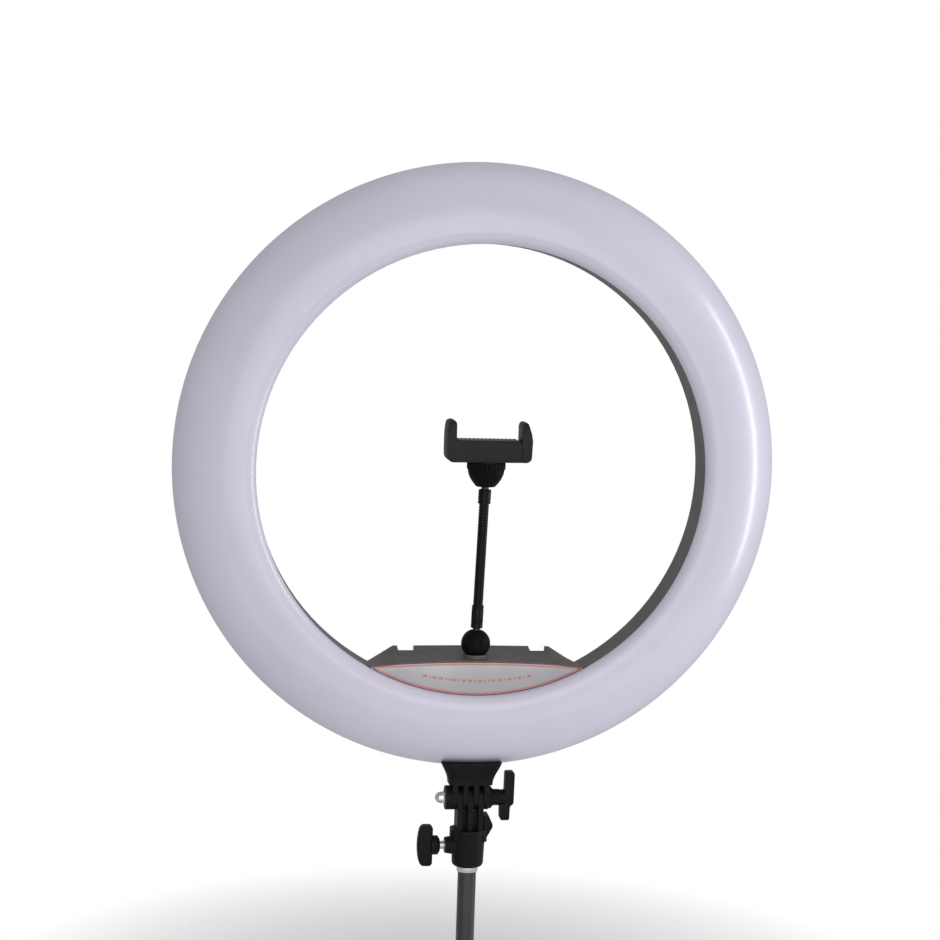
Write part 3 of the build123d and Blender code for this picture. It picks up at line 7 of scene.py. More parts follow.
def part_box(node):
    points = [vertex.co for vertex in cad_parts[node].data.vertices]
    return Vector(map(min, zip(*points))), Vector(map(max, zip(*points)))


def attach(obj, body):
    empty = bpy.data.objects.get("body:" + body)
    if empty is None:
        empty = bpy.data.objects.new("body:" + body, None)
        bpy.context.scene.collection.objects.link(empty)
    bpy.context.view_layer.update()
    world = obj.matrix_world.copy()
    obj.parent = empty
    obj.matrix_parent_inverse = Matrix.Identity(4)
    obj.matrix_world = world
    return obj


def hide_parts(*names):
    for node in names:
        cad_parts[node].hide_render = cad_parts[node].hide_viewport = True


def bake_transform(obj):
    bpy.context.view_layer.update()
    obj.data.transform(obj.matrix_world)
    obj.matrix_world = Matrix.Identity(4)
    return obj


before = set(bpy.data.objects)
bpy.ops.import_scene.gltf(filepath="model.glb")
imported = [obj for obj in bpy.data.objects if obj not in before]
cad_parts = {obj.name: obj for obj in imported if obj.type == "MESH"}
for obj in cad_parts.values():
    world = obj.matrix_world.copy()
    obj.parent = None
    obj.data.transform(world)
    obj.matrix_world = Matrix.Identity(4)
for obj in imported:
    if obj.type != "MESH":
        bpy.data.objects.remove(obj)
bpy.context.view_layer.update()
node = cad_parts

# ------------------------------------------------------------------ opal diffuser
# A deep ring of opal acrylic, vacuum formed to a soft crown and trimmed at the rim. Its inner lip hooks
# over the housing's wall and eight small screws pull it back from behind. The surface is satin, with the
# faintest ripple that forming leaves.

ring_height = 0.420
ring_outer = 0.2285
ring_opening = 0.168
crest_radius = 0.178
crest_y = -0.028
seam_y = -0.020
rim_y = 0.016
diffuser_wall = 0.002
ring_centre = Vector((0.0, 0.0, ring_height))
rearward = Vector((0.0, 1.0, 0.0))


def shade(obj, crease=35):
    """Smooth shading with hard edges only where faces meet at more than the crease angle."""
    obj.data.polygons.foreach_set("use_smooth", [True] * len(obj.data.polygons))
    obj.data.set_sharp_from_angle(angle=radians(crease))
    return obj


def piece(name, points, faces, crease=35):
    mesh = bpy.data.meshes.new(name)
    mesh.from_pydata([tuple(p) for p in points], [], faces)
    mesh.validate()
    worked = bmesh.new()
    worked.from_mesh(mesh)
    bmesh.ops.remove_doubles(worked, verts=worked.verts, dist=1e-7)
    bmesh.ops.recalc_face_normals(worked, faces=worked.faces)
    worked.to_mesh(mesh)
    worked.free()
    obj = bpy.data.objects.new(name, mesh)
    bpy.context.scene.collection.objects.link(obj)
    return shade(obj, crease)


def frame_across(direction):
    """Two unit directions square to one direction."""
    w = Vector(direction).normalized()
    u = w.orthogonal().normalized()
    return u, w.cross(u), w


def turned(name, profile, base, direction, steps=96, closed=False, crease=35):
    """A lathe-turned shape: profile points are (radius, distance along direction from base)."""
    u, v, w = frame_across(direction)
    base = Vector(base)
    points = []
    for radius, along in profile:
        for step in range(steps):
            angle = 2 * pi * step / steps
            points.append(base + w * along + (u * cos(angle) + v * sin(angle)) * radius)
    faces = []
    rows = len(profile)
    for row in range(rows if closed else rows - 1):
        above = (row + 1) % rows
        for step in range(steps):
            side = (step + 1) % steps
            faces.append((row * steps + step, row * steps + side, above * steps + side, above * steps + step))
    if not closed:
        faces.append(tuple(range(steps)))
        faces.append(tuple(range((rows - 1) * steps, rows * steps)))
    return piece(name, points, faces, crease)


def quarter(centre_r, centre_y, wide, deep, start, finish, steps):
    """Points along part of an ellipse in the ring's section, from one angle to another in degrees."""
    points = []
    for step in range(steps + 1):
        angle = radians(start + (finish - start) * step / steps)
        points.append((centre_r + wide * cos(angle), centre_y + deep * sin(angle)))
    return points


diffuser_section = quarter(crest_radius, seam_y, crest_radius - ring_opening, seam_y - crest_y, 180, 270, 14)
diffuser_section += quarter(crest_radius, rim_y, ring_outer - crest_radius, rim_y - crest_y, 270, 360, 44)[1:]
diffuser_section += quarter(
    crest_radius,
    rim_y,
    ring_outer - diffuser_wall - crest_radius,
    rim_y - crest_y - diffuser_wall,
    360,
    270,
    24,
)
diffuser_section += quarter(
    crest_radius,
    seam_y,
    crest_radius - ring_opening - diffuser_wall,
    seam_y - crest_y - diffuser_wall,
    270,
    180,
    8,
)[1:]
diffuser = turned("diffuser_shell", diffuser_section, ring_centre, rearward, steps=288, closed=True)


def new_group(name, inputs, outputs):
    """An empty shader group with named sockets, and its two ends."""
    tree = bpy.data.node_groups.new(name, "ShaderNodeTree")
    for label, kind, value in inputs:
        socket = tree.interface.new_socket(label, in_out="INPUT", socket_type=kind)
        socket.default_value = value
    for label, kind in outputs:
        tree.interface.new_socket(label, in_out="OUTPUT", socket_type=kind)
    return tree, tree.nodes.new("NodeGroupInput"), tree.nodes.new("NodeGroupOutput")


def noise_in(tree, scale, detail, roughness=0.5):
    texture = tree.nodes.new("ShaderNodeTexNoise")
    texture.inputs["Scale"].default_value = scale
    texture.inputs["Detail"].default_value = detail
    texture.inputs["Roughness"].default_value = roughness
    return texture


def ranged(tree, source, low, high, from_low=0.3, from_high=0.7):
    """Map a value that varies round one half onto a range."""
    mapped = tree.nodes.new("ShaderNodeMapRange")
    mapped.inputs["From Min"].default_value = from_low
    mapped.inputs["From Max"].default_value = from_high
    mapped.inputs["To Min"].default_value = low
    mapped.inputs["To Max"].default_value = high
    tree.links.new(source, mapped.inputs["Value"])
    return mapped.outputs["Result"]


def tinted(tree, mask, first, second):
    """A colour that runs from the first to the second as the mask goes from 0 to 1."""
    mixed = tree.nodes.new("ShaderNodeMix")
    mixed.data_type = "RGBA"
    tree.links.new(mask, mixed.inputs["Factor"])
    for socket, value in ((mixed.inputs["A"], first), (mixed.inputs["B"], second)):
        if hasattr(value, "is_linked"):
            tree.links.new(value, socket)
        else:
            socket.default_value = (*value, 1.0)
    return mixed.outputs["Result"]


# Uneven gloss and tone that a moulded or coated surface has: slow cloudy tone, faint rubbed patches and
# a fine grain for the bump.
surface_life, life_in, life_out = new_group(
    "surface_life",
    [
        ("Grain Scale", "NodeSocketFloat", 1800.0),
        ("Cloud Scale", "NodeSocketFloat", 18.0),
        ("Rough Low", "NodeSocketFloat", 0.4),
        ("Rough High", "NodeSocketFloat", 0.5),
    ],
    [("Tone", "NodeSocketFloat"), ("Roughness", "NodeSocketFloat"), ("Grain", "NodeSocketFloat")],
)
life_place = surface_life.nodes.new("ShaderNodeTexCoord")
life_grain = noise_in(surface_life, 1800.0, 3.0, 0.6)
life_cloud = noise_in(surface_life, 18.0, 4.0, 0.55)
life_rub = noise_in(surface_life, 90.0, 5.0, 0.7)
for texture in (life_grain, life_cloud, life_rub):
    surface_life.links.new(life_place.outputs["Object"], texture.inputs["Vector"])
surface_life.links.new(life_in.outputs["Grain Scale"], life_grain.inputs["Scale"])
surface_life.links.new(life_in.outputs["Cloud Scale"], life_cloud.inputs["Scale"])
life_rough = surface_life.nodes.new("ShaderNodeMapRange")
life_rough.inputs["From Min"].default_value = 0.3
life_rough.inputs["From Max"].default_value = 0.7
surface_life.links.new(life_rub.outputs["Fac"], life_rough.inputs["Value"])
surface_life.links.new(life_in.outputs["Rough Low"], life_rough.inputs["To Min"])
surface_life.links.new(life_in.outputs["Rough High"], life_rough.inputs["To Max"])
surface_life.links.new(
    ranged(surface_life, life_cloud.outputs["Fac"], 0.0, 1.0), life_out.inputs["Tone"]
)
surface_life.links.new(life_rough.outputs["Result"], life_out.inputs["Roughness"])
surface_life.links.new(life_grain.outputs["Fac"], life_out.inputs["Grain"])


def finish_named(name, dark, light, rough, grain_scale=1800.0, cloud_scale=18.0, bump=0.02, depth=0.0002):
    """A material whose tone, gloss and grain come from the surface_life group."""
    material = bpy.data.materials.new(name)
    material.use_nodes = True
    tree = material.node_tree
    shader = tree.nodes["Principled BSDF"]
    life = tree.nodes.new("ShaderNodeGroup")
    life.node_tree = surface_life
    life.inputs["Grain Scale"].default_value = grain_scale
    life.inputs["Cloud Scale"].default_value = cloud_scale
    life.inputs["Rough Low"].default_value = rough[0]
    life.inputs["Rough High"].default_value = rough[1]
    tree.links.new(tinted(tree, life.outputs["Tone"], dark, light), shader.inputs["Base Color"])
    tree.links.new(life.outputs["Roughness"], shader.inputs["Roughness"])
    relief = tree.nodes.new("ShaderNodeBump")
    relief.inputs["Strength"].default_value = bump
    relief.inputs["Distance"].default_value = depth
    tree.links.new(life.outputs["Grain"], relief.inputs["Height"])
    tree.links.new(relief.outputs["Normal"], shader.inputs["Normal"])
    return material, shader


def wear(obj, material):
    """Give one material to the whole piece."""
    obj.data.materials.clear()
    obj.data.materials.append(material)
    return obj


opal, opal_shader = finish_named(
    "opal_acrylic",
    (0.560, 0.540, 0.632),
    (0.605, 0.585, 0.680),
    (0.30, 0.37),
    grain_scale=700.0,
    cloud_scale=9.0,
    bump=0.05,
    depth=0.00004,
)
opal_shader.inputs["IOR"].default_value = 1.49
opal_shader.inputs["Coat Weight"].default_value = 0.25
opal_shader.inputs["Coat Roughness"].default_value = 0.12
wear(diffuser, opal)
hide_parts("diffuser")
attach(diffuser, "head")

# ------------------------------------------------------------------ rear housing and control box
# One dark grey-brown ABS moulding: the ring's back, its inner wall, and the low control box that fills
# the foot of the opening. The mould's spark-eroded texture shows as a fine even grain.

housing_abs, _ = finish_named(
    "textured_abs",
    (0.078, 0.070, 0.061),
    (0.098, 0.089, 0.078),
    (0.46, 0.58),
    grain_scale=2600.0,
    cloud_scale=14.0,
    bump=0.25,
    depth=0.00012,
)
wear(node["rear_housing"], housing_abs)


def extruded(name, outline, origin, across, up, depth, crease=35):
    """A slab with the given outline of (across, up) points, as thick as depth along across x up."""
    u = Vector(across)
    v = Vector(up)
    w = u.cross(v)
    origin = Vector(origin)
    count = len(outline)
    points = [origin + u * a + v * b for a, b in outline]
    points += [p + w * depth for p in points]
    faces = [tuple(range(count)), tuple(range(2 * count - 1, count - 1, -1))]
    for corner in range(count):
        after = (corner + 1) % count
        faces.append((corner, after, count + after, count + corner))
    return piece(name, points, faces, crease)


def softened(obj, width, segments=3, angle=32):
    """Break the piece's sharp edges with a small rounded bevel."""
    bevel = obj.modifiers.new("soft_edges", "BEVEL")
    bevel.width = width
    bevel.segments = segments
    bevel.limit_method = "ANGLE"
    bevel.angle_limit = radians(angle)
    bevel.harden_normals = False
    bpy.context.view_layer.update()
    shaped = bpy.data.meshes.new_from_object(obj.evaluated_get(bpy.context.evaluated_depsgraph_get()))
    obj.modifiers.clear()
    obj.data = shaped
    return shade(obj, 40)


def crescent(arc_radius, tip_x, crown, shoulder_x, shoulder, steps=48):
    """Outline of the control box's front: a nearly flat roof over the arc of the opening."""
    tip = -sqrt(arc_radius**2 - tip_x**2)
    roof = [(tip_x, tip), (shoulder_x, shoulder)]
    for step in range(1, 12):
        x = shoulder_x * (1 - step / 6)
        roof.append((x, crown + (shoulder - crown) * (x / shoulder_x) ** 2))
    roof += [(-shoulder_x, shoulder), (-tip_x, tip)]
    start = atan2(tip, -tip_x)
    finish = atan2(tip, tip_x)
    arc = []
    for step in range(1, steps):
        angle = start + (finish - start) * step / steps
        arc.append((arc_radius * cos(angle), arc_radius * sin(angle)))
    return roof + arc


box_front_y = -0.019
cover = extruded(
    "control_cover",
    crescent(0.1678, 0.0836, -0.142, 0.060, -0.144),
    ring_centre + rearward * (box_front_y + 0.0019),
    (1, 0, 0),
    (0, 0, 1),
    0.0019,
)
softened(cover, 0.0004)
wear(cover, housing_abs)
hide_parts("control_box_front")
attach(cover, "head")

# ------------------------------------------------------------------ label plate
# A thin plate with a silver printed face, stuck in the cover. It carries a fine red border and a row of
# plain dots and dashes along the curve of the ring, printed in a faded red.

label_y = box_front_y - 0.00065
label_arc = 0.1676
label_tip = 0.0804
label_crown = -0.1433
label_shoulder = (0.058, -0.1449)
label_outline = crescent(label_arc, label_tip, label_crown, *label_shoulder)
label = extruded(
    "label_face", label_outline, ring_centre + rearward * (label_y + 0.0006), (1, 0, 0), (0, 0, 1), 0.0006
)
softened(label, 0.00015, 2)
label_silver, label_shader = finish_named(
    "printed_silver",
    (0.370, 0.368, 0.378),
    (0.415, 0.411, 0.421),
    (0.34, 0.46),
    grain_scale=3200.0,
    cloud_scale=30.0,
    bump=0.08,
    depth=0.00004,
)
label_shader.inputs["Metallic"].default_value = 0.25
wear(label, label_silver)
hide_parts("label_plate")
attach(label, "head")

label_red, _ = finish_named(
    "faded_red_print",
    (0.480, 0.150, 0.125),
    (0.580, 0.200, 0.165),
    (0.42, 0.56),
    grain_scale=2600.0,
    cloud_scale=60.0,
    bump=0.1,
    depth=0.00003,
)


def strip_along(name, path, width, thickness, origin, closed):
    """A flat printed line of even width along a path of (x, z) points."""
    count = len(path)
    points = []
    for index, (x, z) in enumerate(path):
        before = path[index - 1] if closed or index else path[index]
        after = path[(index + 1) % count] if closed or index < count - 1 else path[index]
        run = Vector((after[0] - before[0], after[1] - before[1])).normalized()
        side = Vector((-run.y, run.x)) * width / 2
        for sign in (-1, 1):
            at = Vector((x + side.x * sign, 0.0, z + side.y * sign)) + origin
            points.append(at)
            points.append(at - rearward * thickness)
    faces = []
    for index in range(count if closed else count - 1):
        a = index * 4
        b = ((index + 1) % count) * 4
        faces += [(a + 1, a + 3, b + 3, b + 1), (a, b, b + 2, a + 2)]
        faces += [(a, a + 1, b + 1, b), (a + 2, b + 2, b + 3, a + 3)]
    if not closed:
        end = (count - 1) * 4
        faces += [(0, 2, 3, 1), (end, end + 1, end + 3, end + 2)]
    return piece(name, points, faces)


print_lift = 0.00006
print_face = ring_centre + rearward * label_y
border_inset = 0.0011
border_path = crescent(
    label_arc - border_inset,
    label_tip - 2.2 * border_inset,
    label_crown - border_inset,
    label_shoulder[0] - 2 * border_inset,
    label_shoulder[1] - border_inset,
)
border = strip_along("label_border", border_path, 0.0011, print_lift, print_face, True)
wear(border, label_red)
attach(border, "head")

mark_radius = 0.2050
mark_centre = 0.0480
dash = 2.6
dot = 1.0
mark_widths = (dash, dot, dash, dash, dot, dot, dash, dot, dash, dash, dot)
mark_widths += (dash, dot, dot, dash, dash, dot, dash, dot, dash, dot, dash)
mark_gap = 0.0016
mark_unit = 0.00118
total_run = sum(mark_widths) * mark_unit + mark_gap * (len(mark_widths) - 1)
run_at = -total_run / 2
mark_points = []
for width in mark_widths:
    start = run_at
    run_at += width * mark_unit
    finish = run_at
    run_at += mark_gap
    steps = 3
    mark_path = []
    for step in range(steps + 1):
        angle = (start + (finish - start) * step / steps) / mark_radius
        mark_path.append((mark_radius * sin(angle), mark_centre - mark_radius * cos(angle)))
    mark_points.append(mark_path)
marks = [strip_along("label_mark", path, 0.0018, print_lift, print_face, False) for path in mark_points]
with bpy.context.temp_override(active_object=marks[0], selected_editable_objects=marks):
    bpy.ops.object.join()
label_marks = marks[0]
label_marks.name = "label_marks"
wear(label_marks, label_red)
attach(label_marks, "head")

# ------------------------------------------------------------------ ball housing of the phone arm
# A round black nylon housing standing on the control box. The ball of the arm turns inside it, and a
# threaded stem under it goes through the box roof into a nut.

base_ball = Vector((0.0, -0.006, ring_height - 0.131))
black_nylon, nylon_shader = finish_named(
    "black_nylon",
    (0.0036, 0.0034, 0.0036),
    (0.0066, 0.0063, 0.0066),
    (0.42, 0.56),
    grain_scale=2200.0,
    cloud_scale=40.0,
    bump=0.22,
    depth=0.00012,
)
nylon_shader.inputs["Specular IOR Level"].default_value = 0.05
housing_profile = [(0.0041, -0.0078)]
for step in range(25):
    angle = radians(-45.5 + (108.5 * step / 24))
    housing_profile.append((0.011 * cos(angle), 0.011 * sin(angle)))
housing_profile += [(0.0046, 0.0096), (0.0037, 0.0080)]
arm_housing = turned("arm_housing", housing_profile, base_ball, (0, 0, 1), steps=72, closed=False)
wear(arm_housing, black_nylon)
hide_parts("arm_base_housing")
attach(arm_housing, "head")

# ------------------------------------------------------------------ sleeves and gooseneck of the arm
# The arm is a wound steel gooseneck in black paint, with a turned sleeve crimped on each end. The ball
# studs are pressed into the sleeves.

arm_lean = radians(1.6)
arm_along = Vector((sin(arm_lean), 0.0, cos(arm_lean)))
black_paint, paint_shader = finish_named(
    "black_semi_gloss",
    (0.0034, 0.0031, 0.0032),
    (0.0060, 0.0056, 0.0057),
    (0.26, 0.38),
    grain_scale=1500.0,
    cloud_scale=60.0,
    bump=0.12,
    depth=0.00008,
)
paint_shader.inputs["Specular IOR Level"].default_value = 0.13
lower_profile = [
    (0.0030, 0.0119),
    (0.0042, 0.0119),
    (0.0045, 0.0123),
    (0.0045, 0.0146),
    (0.0043, 0.0149),
    (0.0043, 0.0153),
    (0.0045, 0.0156),
    (0.0045, 0.0262),
    (0.0043, 0.0265),
    (0.0043, 0.0269),
    (0.0045, 0.0272),
    (0.0045, 0.0286),
    (0.0042, 0.0290),
    (0.0036, 0.0290),
]
lower_sleeve = turned("lower_sleeve_turned", lower_profile, base_ball, arm_along, steps=48)
wear(lower_sleeve, black_paint)
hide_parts("lower_sleeve")
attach(lower_sleeve, "arm_lower")

upper_profile = [
    (0.0036, 0.1060),
    (0.0044, 0.1060),
    (0.00475, 0.1064),
    (0.00475, 0.1078),
    (0.0045, 0.1081),
    (0.0045, 0.1085),
    (0.00475, 0.1088),
    (0.00475, 0.1162),
    (0.0042, 0.1168),
    (0.0030, 0.1168),
]
upper_sleeve = turned("upper_sleeve_turned", upper_profile, base_ball, arm_along, steps=48)
wear(upper_sleeve, black_paint)
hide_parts("upper_sleeve")
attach(upper_sleeve, "arm_upper")

coil_radius = 0.00375
coil_pitch = 0.0022
coil_groove = 0.00042
coil_start = 0.0264
coil_end = 0.1082
coil_rows = 560
coil_sides = 28
across_u, across_v, across_w = frame_across(arm_along)
coil_points = []
for row in range(coil_rows + 1):
    along = coil_start + (coil_end - coil_start) * row / coil_rows
    for side in range(coil_sides):
        angle = 2 * pi * side / coil_sides
        wave = (along / coil_pitch - side / coil_sides) % 1.0
        crown = sqrt(max(0.0, 1.0 - (2.0 * wave - 1.0) ** 2))
        radius = coil_radius - coil_groove * (1.0 - crown)
        out = across_u * cos(angle) + across_v * sin(angle)
        coil_points.append(base_ball + across_w * along + out * radius)
coil_faces = []
for row in range(coil_rows):
    for side in range(coil_sides):
        after = (side + 1) % coil_sides
        low = row * coil_sides
        high = low + coil_sides
        coil_faces.append((low + side, low + after, high + after, high + side))
coil_faces.append(tuple(range(coil_sides)))
coil_faces.append(tuple(range(coil_rows * coil_sides, (coil_rows + 1) * coil_sides)))
gooseneck = piece("gooseneck_coil", coil_points, coil_faces, 70)
wear(gooseneck, black_paint)
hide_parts("gooseneck")
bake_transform(gooseneck)

ball_steel, ball_shader = finish_named(
    "black_oxide",
    (0.030, 0.029, 0.030),
    (0.050, 0.048, 0.050),
    (0.24, 0.36),
    grain_scale=2400.0,
    cloud_scale=80.0,
    bump=0.05,
    depth=0.00005,
)
ball_shader.inputs["Metallic"].default_value = 0.9
for name in ("arm_ball_stud", "holder_ball_stud"):
    wear(node[name], ball_steel)

# ------------------------------------------------------------------ lock nut under the phone clamp
# A moulded nut with a fluted rim. Turned by hand, it draws the slotted collar of the clamp down on the
# ball, so that the clamp stays at its angle.

top_ball = base_ball + arm_along * 0.128
nut_profile = [
    (0.0110, 0.0090),
    (0.0141, 0.0090),
    (0.0145, 0.0086),
    (0.0145, 0.0044),
    (0.0142, 0.0040),
    (0.0137, 0.0037),
]
for step in range(1, 15):
    part = step / 14
    nut_profile.append((0.0137 - 0.0062 * part**1.9 - 0.0001 * part, 0.0037 - 0.0124 * part))
nut_profile += [(0.0072, -0.0090), (0.0066, -0.0090), (0.0066, -0.0072), (0.0110, -0.0008)]
lock_nut = turned("lock_nut", nut_profile, top_ball, (0, 0, 1), steps=192, closed=True)
flute_count = 24
for vertex in lock_nut.data.vertices:
    height = vertex.co.z - top_ball.z
    from_axis = Vector((vertex.co.x - top_ball.x, vertex.co.y - top_ball.y))
    if from_axis.length > 0.0139 and height > 0.0039:
        turn = atan2(from_axis.y, from_axis.x) * flute_count / (2 * pi)
        dip = max(0.0, cos(2 * pi * turn)) ** 2 * 0.0007
        from_axis *= (from_axis.length - dip) / from_axis.length
        vertex.co.x = top_ball.x + from_axis.x
        vertex.co.y = top_ball.y + from_axis.y
wear(shade(lock_nut, 40), black_nylon)
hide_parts("ball_lock_nut")
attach(lock_nut, "holder_nut")

# ------------------------------------------------------------------ phone clamp
# Two ABS mouldings: the base with the fixed left jaw, and a right jaw on a tongue that slides in the
# base against a coil spring. Rubber pads line the jaws and the shelf that the phone stands on.

clamp_half_depth = 0.011
bar_floor = 0.427 - top_ball.z
bar_roof = 0.442 - top_ball.z
jaw_tip = 0.458 - top_ball.z
jaw_left = -0.031
jaw_inner = jaw_left + 0.0068
bar_right = 0.025
clamp_black, clamp_shader = finish_named(
    "warm_black_abs",
    (0.0110, 0.0105, 0.0090),
    (0.0190, 0.0180, 0.0155),
    (0.44, 0.58),
    grain_scale=2400.0,
    cloud_scale=35.0,
    bump=0.2,
    depth=0.0001,
)
clamp_shader.inputs["Specular IOR Level"].default_value = 0.17


def arc_points(centre, radius, start, finish, steps):
    points = []
    for step in range(steps + 1):
        angle = radians(start + (finish - start) * step / steps)
        points.append((centre[0] + radius * cos(angle), centre[1] + radius * sin(angle)))
    return points


corner = 0.0042
base_outline = [(bar_right, bar_floor), (bar_right, bar_roof), (jaw_inner + 0.0012, bar_roof)]
base_outline += [(jaw_inner, bar_roof + 0.0012), (jaw_inner, jaw_tip - 0.0050)]
base_outline += arc_points((jaw_left + 0.0038, jaw_tip - 0.0030), 0.0030, 8, 165, 10)
base_outline += [(jaw_left + 0.0002, jaw_tip - 0.0075), (jaw_left, jaw_tip - 0.0130)]
base_outline += [(jaw_left, bar_floor + 0.0075)]
base_outline += arc_points((jaw_left + corner + 0.0006, bar_floor + corner), corner + 0.0004, 182, 268, 8)
clamp_body = extruded(
    "clamp_base_moulding",
    base_outline,
    top_ball + rearward * clamp_half_depth,
    (1, 0, 0),
    (0, 0, 1),
    2 * clamp_half_depth,
)


def eased_tip(obj, tip_z, reach, share):
    """Round the top of an upright arm off from front to back, down to a share of its depth."""
    worked = bmesh.new()
    worked.from_mesh(obj.data)
    cuts = 6
    for step in range(1, cuts + 1):
        everything = worked.verts[:] + worked.edges[:] + worked.faces[:]
        height = tip_z - reach * step / cuts
        bmesh.ops.bisect_plane(worked, geom=everything, plane_co=(0, 0, height), plane_no=(0, 0, 1))
    for vertex in worked.verts:
        rise = min(1.0, (vertex.co.z - tip_z + reach) / reach)
        if rise > 0:
            keep = share + (1 - share) * sqrt(1 - rise**2)
            vertex.co.y = top_ball.y + (vertex.co.y - top_ball.y) * keep
    worked.to_mesh(obj.data)
    worked.free()


tip_reach = 0.0055
tip_share = 0.40
eased_tip(clamp_body, top_ball.z + jaw_tip, tip_reach, tip_share)


def hollowed(obj, low, high):
    """Cut a square-sided hollow out of a piece, from its low corner to its high corner."""
    middle = (Vector(low) + Vector(high)) / 2
    size = Vector(high) - Vector(low)
    cutter_mesh = bpy.data.meshes.new("cutter")
    worked = bmesh.new()
    bmesh.ops.create_cube(worked, size=1.0)
    bmesh.ops.scale(worked, vec=size, verts=worked.verts)
    bmesh.ops.translate(worked, vec=middle, verts=worked.verts)
    worked.to_mesh(cutter_mesh)
    worked.free()
    cutter = bpy.data.objects.new("cutter", cutter_mesh)
    bpy.context.scene.collection.objects.link(cutter)
    cut = obj.modifiers.new("cut", "BOOLEAN")
    cut.operation = "DIFFERENCE"
    cut.object = cutter
    cut.solver = "EXACT"
    bpy.context.view_layer.update()
    shaped = bpy.data.meshes.new_from_object(obj.evaluated_get(bpy.context.evaluated_depsgraph_get()))
    obj.modifiers.clear()
    obj.data = shaped
    bpy.data.objects.remove(cutter)
    return shade(obj)


def joined(name, *parts):
    """Make one object of several closed shells."""
    with bpy.context.temp_override(active_object=parts[0], selected_editable_objects=list(parts)):
        bpy.ops.object.join()
    parts[0].name = name
    return parts[0]


channel_half_depth = 0.0085
channel_floor = bar_floor + 0.0026
channel_roof = bar_roof - 0.0024
hollowed(
    clamp_body,
    top_ball + Vector((-0.023, -channel_half_depth, channel_floor)),
    top_ball + Vector((bar_right + 0.004, channel_half_depth, channel_roof)),
)
softened(clamp_body, 0.0007)
collar_profile = [
    (0.0056, -0.0040),
    (0.0076, -0.0044),
    (0.0108, -0.0004),
    (0.0108, bar_floor + 0.0004),
    (0.0060, bar_floor + 0.0004),
]
collar = turned("collar", collar_profile, top_ball, (0, 0, 1), steps=64, closed=True)
clamp_body = joined("clamp_base_moulding", clamp_body, collar)
wear(clamp_body, clamp_black)
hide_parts("clamp_base")
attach(clamp_body, "holder")

jaw_face = bar_right + 0.0003
jaw_right = 0.033
jaw_outline = [(jaw_face, bar_floor)]
jaw_outline += arc_points((jaw_right - corner - 0.0004, bar_floor + corner), corner, 272, 358, 8)
jaw_outline += [(jaw_right - 0.0002, bar_floor + 0.0100), (jaw_right, bar_floor + 0.0160)]
jaw_outline += [(jaw_right - 0.0003, jaw_tip - 0.0130), (jaw_right - 0.0010, jaw_tip - 0.0092)]
jaw_outline += [(jaw_right - 0.0021, jaw_tip - 0.0060)]
jaw_outline += arc_points((jaw_right - 0.0052, jaw_tip - 0.0034), 0.0023, 25, 172, 9)
jaw_outline += [(jaw_face, jaw_tip - 0.0052)]
jaw = extruded(
    "sliding_jaw_moulding",
    jaw_outline,
    top_ball + rearward * clamp_half_depth,
    (1, 0, 0),
    (0, 0, 1),
    2 * clamp_half_depth,
)
eased_tip(jaw, top_ball.z + jaw_tip - 0.001, tip_reach, tip_share)
softened(jaw, 0.0007)
tongue = extruded(
    "tongue",
    [
        (-channel_half_depth + 0.0002, channel_floor + 0.0002),
        (channel_half_depth - 0.0002, channel_floor + 0.0002),
        (channel_half_depth - 0.0002, channel_roof - 0.0002),
        (-channel_half_depth + 0.0002, channel_roof - 0.0002),
    ],
    top_ball + Vector((-0.0195, 0.0, 0.0)),
    (0, 1, 0),
    (0, 0, 1),
    jaw_face + 0.0195 + 0.001,
)
hollowed(tongue, top_ball + Vector((-0.021, -0.0045, 0.0104)), top_ball + Vector((0.022, 0.0045, 0.0162)))
softened(tongue, 0.0004)
jaw = joined("sliding_jaw_moulding", jaw, tongue)
wear(jaw, clamp_black)
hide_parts("sliding_jaw")
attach(jaw, "holder_jaw")

soft_rubber, rubber_shader = finish_named(
    "soft_rubber",
    (0.016, 0.0155, 0.0145),
    (0.026, 0.0250, 0.0235),
    (0.62, 0.78),
    grain_scale=2800.0,
    cloud_scale=50.0,
    bump=0.3,
    depth=0.0001,
)
rubber_shader.inputs["Sheen Weight"].default_value = 0.15


pad_half_depth = 0.0078
pad_ribs = 5


def ribbed_pad(name, face_x, low_z, high_z, thick, toward, ribs):
    """An upright pad with rounded ribs across it, standing on a plane at face_x."""
    outline = [(0.0, low_z)]
    steps = ribs * 8
    for step in range(steps + 1):
        part = step / steps
        bulge = abs(sin(pi * ribs * part)) ** 0.7
        outline.append((thick * (0.55 + 0.45 * bulge), low_z + (high_z - low_z) * part))
    outline.append((0.0, high_z))
    if toward < 0:
        outline = [(-x, z) for x, z in reversed(outline)]
    at = Vector((face_x, top_ball.y + pad_half_depth, top_ball.z))
    return extruded(name, outline, at, (1, 0, 0), (0, 0, 1), 2 * pad_half_depth)


left_pad = ribbed_pad(
    "fixed_pad_ribbed",
    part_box("fixed_jaw_pad")[0][0],
    bar_roof + 0.0026,
    bar_roof + 0.0108,
    0.0015,
    1,
    pad_ribs,
)
wear(left_pad, soft_rubber)
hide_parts("fixed_jaw_pad")
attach(left_pad, "holder")
right_pad = ribbed_pad(
    "sliding_pad_ribbed",
    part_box("sliding_jaw_pad")[1][0],
    bar_roof + 0.0024,
    bar_roof + 0.0100,
    0.0014,
    -1,
    pad_ribs,
)
wear(right_pad, soft_rubber)
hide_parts("sliding_jaw_pad")
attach(right_pad, "holder_jaw")

